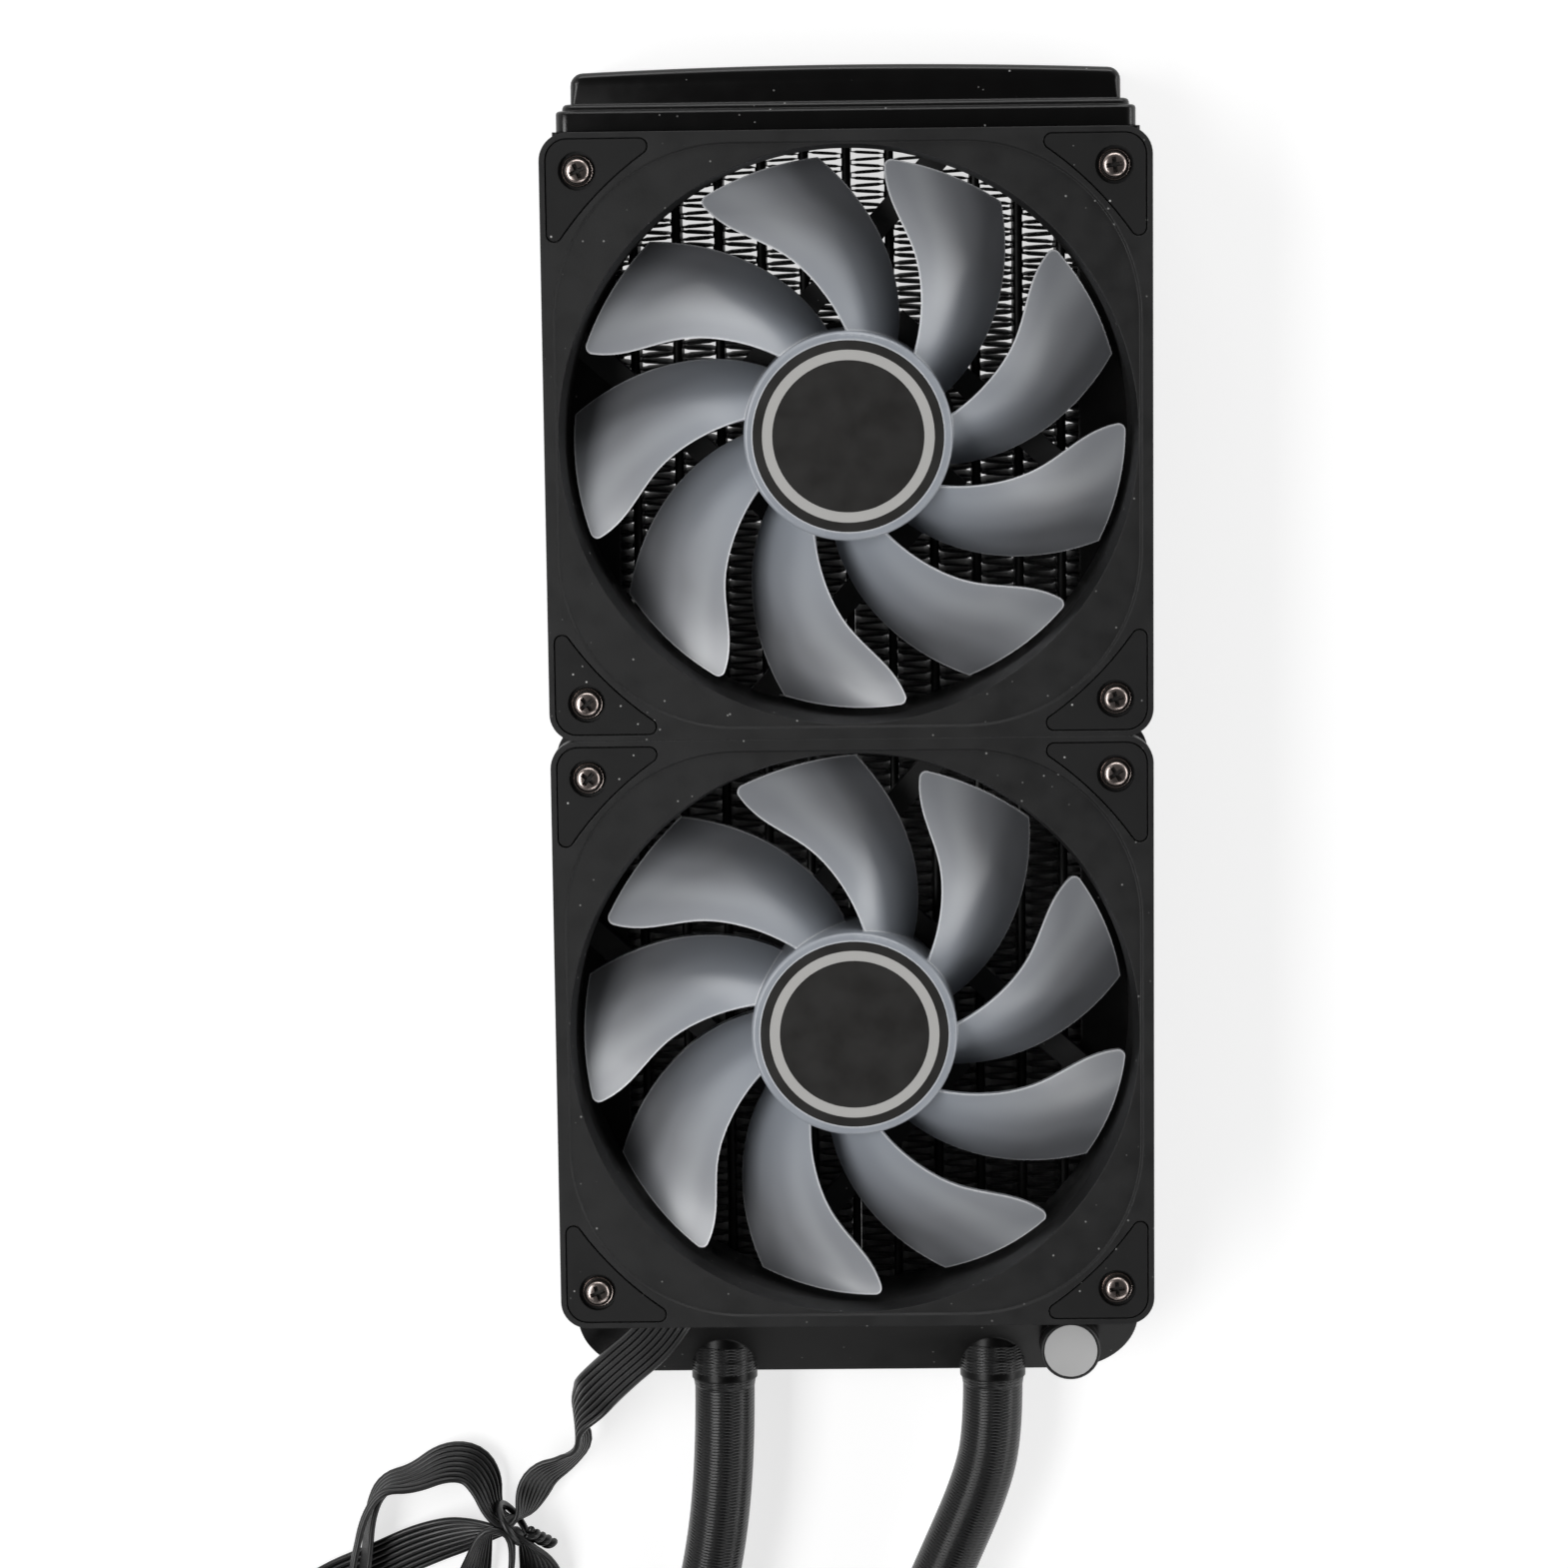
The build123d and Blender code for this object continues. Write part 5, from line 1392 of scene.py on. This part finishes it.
@dataclass
class Fan:
    """One fan: frame, pads, screws, rotor, label and motor."""

    name: str
    centre_y: float
    turned: float
    screw_turns: tuple[float, ...]

    def build(self, nodes: dict[str, bpy.types.Object]) -> None:
        """Dresses every piece of the fan.

        Args:
            nodes: The construction's pieces by name.
        """
        centre = (0.0, self.centre_y, 0.0)
        frosted = Frosted(f"{self.name}_frosted", (0.30, 0.325, 0.365), roughness=0.36, centre=centre,
                          turned=self.turned, grain_height=0.00001)
        label = RingedLabel(f"{self.name}_label", (0.006, 0.0052, 0.0045), roughness=0.45, centre=centre,
                            grain_height=0.00001)
        dress(nodes, {
            "fan_frame": FRAME_PLASTIC, "pad_top_left": PAD_RUBBER, "pad_top_right": PAD_RUBBER,
            "pad_bottom_left": PAD_RUBBER, "pad_bottom_right": PAD_RUBBER, "fan_rotor": frosted,
            "hub_label": label, "magnet_ring": MAGNET, "rotor_shaft": STEEL, "bearing": BRASS,
            "stator": IRON, "coils": COPPER, "circuit_board": BOARD,
        }, self.name + "_")
        CrossScrews(self.name, self.centre_y, self.screw_turns).build()
        LOG.info("%s fan dressed", self.name)


@dataclass
class PlainTank:
    """The closed tank at the far end: a stepped rim on the core and a rounded box that bows out."""

    rim: float = 3.0
    step: float = 2.0
    bow: float = 1.1
    corner: float = 2.6
    edge: float = 1.6
    rim_corner: float = 2.5
    rim_corner_loss: float = 0.4
    least_corner: float = 0.8
    overlap: float = 1.0
    bow_points: int = 25
    arc_steps: int = 6
    sharp_angle: float = 40.0
    rim_profile: tuple[tuple[float, float], ...] = (
        (0.0, 0.0), (3.5, 0.0), (3.85, 0.12), (4.1, 0.42), (4.2, 0.85), (4.22, 1.25), (4.75, 1.32),
        (5.15, 1.5), (5.4, 1.85), (5.5, 2.35),
    )

    def arc(self, centre: tuple[float, float], radius: float, start: float) -> np.ndarray:
        """Gives the points of a quarter circle that starts at an angle in degrees.

        Args:
            centre: The circle's middle.
            radius: Its radius.
            start: The angle at which the quarter starts.

        Returns:
            The points, one per row.
        """
        angles = np.radians(np.linspace(start, start + 90.0, self.arc_steps + 1))
        return np.column_stack([centre[0] + radius * np.cos(angles), centre[1] + radius * np.sin(angles)])

    def body_rings(self, half: float, near: float, far: float, low: float, high: float) -> np.ndarray:
        """Lays the box's outline at each height, drawn in where its upper and lower edges are rounded.

        Args:
            half: Half of the box's width.
            near: Where it starts along Y.
            far: Where its corners end along Y.
            low: Its underside.
            high: Its top.

        Returns:
            The rings' corners, ring by ring.
        """
        inner = half - self.corner
        bowed_x = np.linspace(inner, -inner, self.bow_points)[1:-1]
        bowed = np.column_stack([bowed_x, far + self.bow * (1 - (bowed_x / inner) ** 2)])
        outline = np.concatenate([
            np.array([(-half, near), (half, near)]), self.arc((inner, far - self.corner), self.corner, 0.0), bowed,
            self.arc((-inner, far - self.corner), self.corner, 90.0)])
        ahead = np.roll(outline, -1, axis=0) - np.roll(outline, 1, axis=0)
        outward = unit(np.column_stack([ahead[:, 1], -ahead[:, 0]]))
        outward[:2] = 0.0
        turns = np.linspace(0.0, math.pi / 2, self.arc_steps + 1)
        upper = [(self.edge * (1 - math.cos(turn)), high - self.edge * (1 - math.sin(turn))) for turn in turns]
        lower = [(inset, low + high - z) for inset, z in reversed(upper)]
        return np.concatenate([np.column_stack([outline - inset * outward, np.full(len(outline), z)])
                               for inset, z in lower + upper])

    def rim_rings(self, half: float, near: float, high: float) -> np.ndarray:
        """Lays the rim's upright outline at each step of its profile.

        Args:
            half: Half of the rim's width.
            near: Where it starts along Y.
            high: Its top.

        Returns:
            The rings' corners, ring by ring.
        """
        rings = []
        for reach, inset in self.rim_profile:
            radius = max(self.rim_corner - inset * self.rim_corner_loss, self.least_corner)
            wide, top, low = half - inset, high - inset, inset
            corners = [((wide - radius, top - radius), 0.0), ((radius - wide, top - radius), 90.0),
                       ((radius - wide, low + radius), 180.0), ((wide - radius, low + radius), 270.0)]
            outline = np.concatenate([self.arc(centre, radius, start) for centre, start in corners])
            rings.append(np.column_stack([outline[:, 0], np.full(len(outline), near + reach), outline[:, 1]]))
        return np.concatenate(rings[::-1])

    def build(self) -> None:
        """Makes the tank where the construction has it."""
        low, high = (np.array(corner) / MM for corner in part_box("plain_end_tank"))
        body = self.body_rings(high[0] - self.rim, low[1] + self.overlap, high[1] - self.bow, self.step,
                               high[2] - self.step)
        rim = self.rim_rings(high[0], low[1], high[2])
        form = Form()
        for corners, rings in ((body, 2 * (self.arc_steps + 1)), (rim, len(self.rim_profile))):
            form.add(corners, tube_faces(rings, len(corners) // rings))
        piece = mesh_piece("plain_tank_shell", np.concatenate(form.corners) * MM, form.faces, TANK_GLOSS)
        piece.data.set_sharp_from_angle(angle=math.radians(self.sharp_angle))
        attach(piece, CHASSIS)
        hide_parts("plain_end_tank")
        LOG.info("plain tank made")


@dataclass
class Radiator:
    """Core, channels, headers and tanks, with the fill plug and its bare sticker."""

    sticker_margin: float = 0.7 * MM
    sticker_thickness: float = 0.12 * MM
    sticker_sides: int = 64

    def make_sticker(self) -> None:
        """Lays the bare round sticker on the fill plug."""
        low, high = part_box("fill_plug")
        middle = (low + high) / 2
        radius = (high.x - low.x) / 2 - self.sticker_margin
        angles = once_round(self.sticker_sides)
        circle = np.stack([middle.x + radius * np.cos(angles), middle.y + radius * np.sin(angles)], axis=1)
        rings = [np.column_stack([circle, np.full(self.sticker_sides, z)])
                 for z in (high.z, high.z + self.sticker_thickness)]
        faces = tube_faces(2, self.sticker_sides)
        piece = mesh_piece("plug_sticker", np.concatenate(rings), faces, STICKER, smooth=False)
        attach(piece, CHASSIS)
        LOG.info("sticker laid")

    def build(self, nodes: dict[str, bpy.types.Object]) -> None:
        """Dresses the radiator and adds the fins and the sticker.

        Args:
            nodes: The construction's pieces by name.
        """
        dress(nodes, {
            "core_tubes": CORE_PAINT, "side_channel_left": BLACK_PAINT, "side_channel_right": BLACK_PAINT,
            "header_plate_top": BLACK_PAINT, "header_plate_bottom": BLACK_PAINT, "port_end_tank": BLACK_PAINT,
            "radiator_barb_left": BRASS, "radiator_barb_right": BRASS, "fill_plug": MOULDED_BLACK,
            "fill_plug_seal": SOFT_BLACK,
        })
        FinCore().build()
        PlainTank().build()
        self.make_sticker()
        LOG.info("radiator dressed")


@dataclass
class PumpBlock:
    """The round pump block at the hoses' far ends."""

    def build(self, nodes: dict[str, bpy.types.Object]) -> None:
        """Dresses every piece of the pump.

        Args:
            nodes: The construction's pieces by name.
        """
        dress(nodes, {
            "cold_plate": COPPER, "cold_plate_screws": STEEL, "pump_shaft": STEEL, "mounting_bracket": STEEL,
            "pump_housing": MOULDED_BLACK, "pump_cover": MOULDED_BLACK, "pump_seal": SOFT_BLACK,
            "pump_impeller": PALE_PLASTIC, "impeller_magnet": MAGNET, "pump_stator": IRON,
            "pump_circuit_board": BOARD, "pump_barb_left": BRASS, "pump_barb_right": BRASS,
        })
        LOG.info("pump block dressed")


def main() -> None:
    """Builds the looks round the fixed construction."""
    logging.basicConfig(level=logging.INFO, format="%(message)s")
    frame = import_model()
    nodes = frame["nodes"]
    Studio().build()
    LEFT_HOSE.build()
    RIGHT_HOSE.build()
    FAN_CABLE.build(WireTie().build())
    LEFT_HOSE.build_cuff()
    RIGHT_HOSE.build_cuff()
    dress(nodes, {"cable_plug": MOULDED_BLACK, "fan_cable_grommet": SOFT_BLACK})
    Radiator().build(nodes)
    Fan("upper", 0.06, 2.0, (24.0, 8.0, 38.0, 15.0)).build(nodes)
    Fan("lower", -0.06, -4.5, (52.0, 33.0, 20.0, 5.0)).build(nodes)
    PumpBlock().build(nodes)


if __name__ == "__main__":
    main()
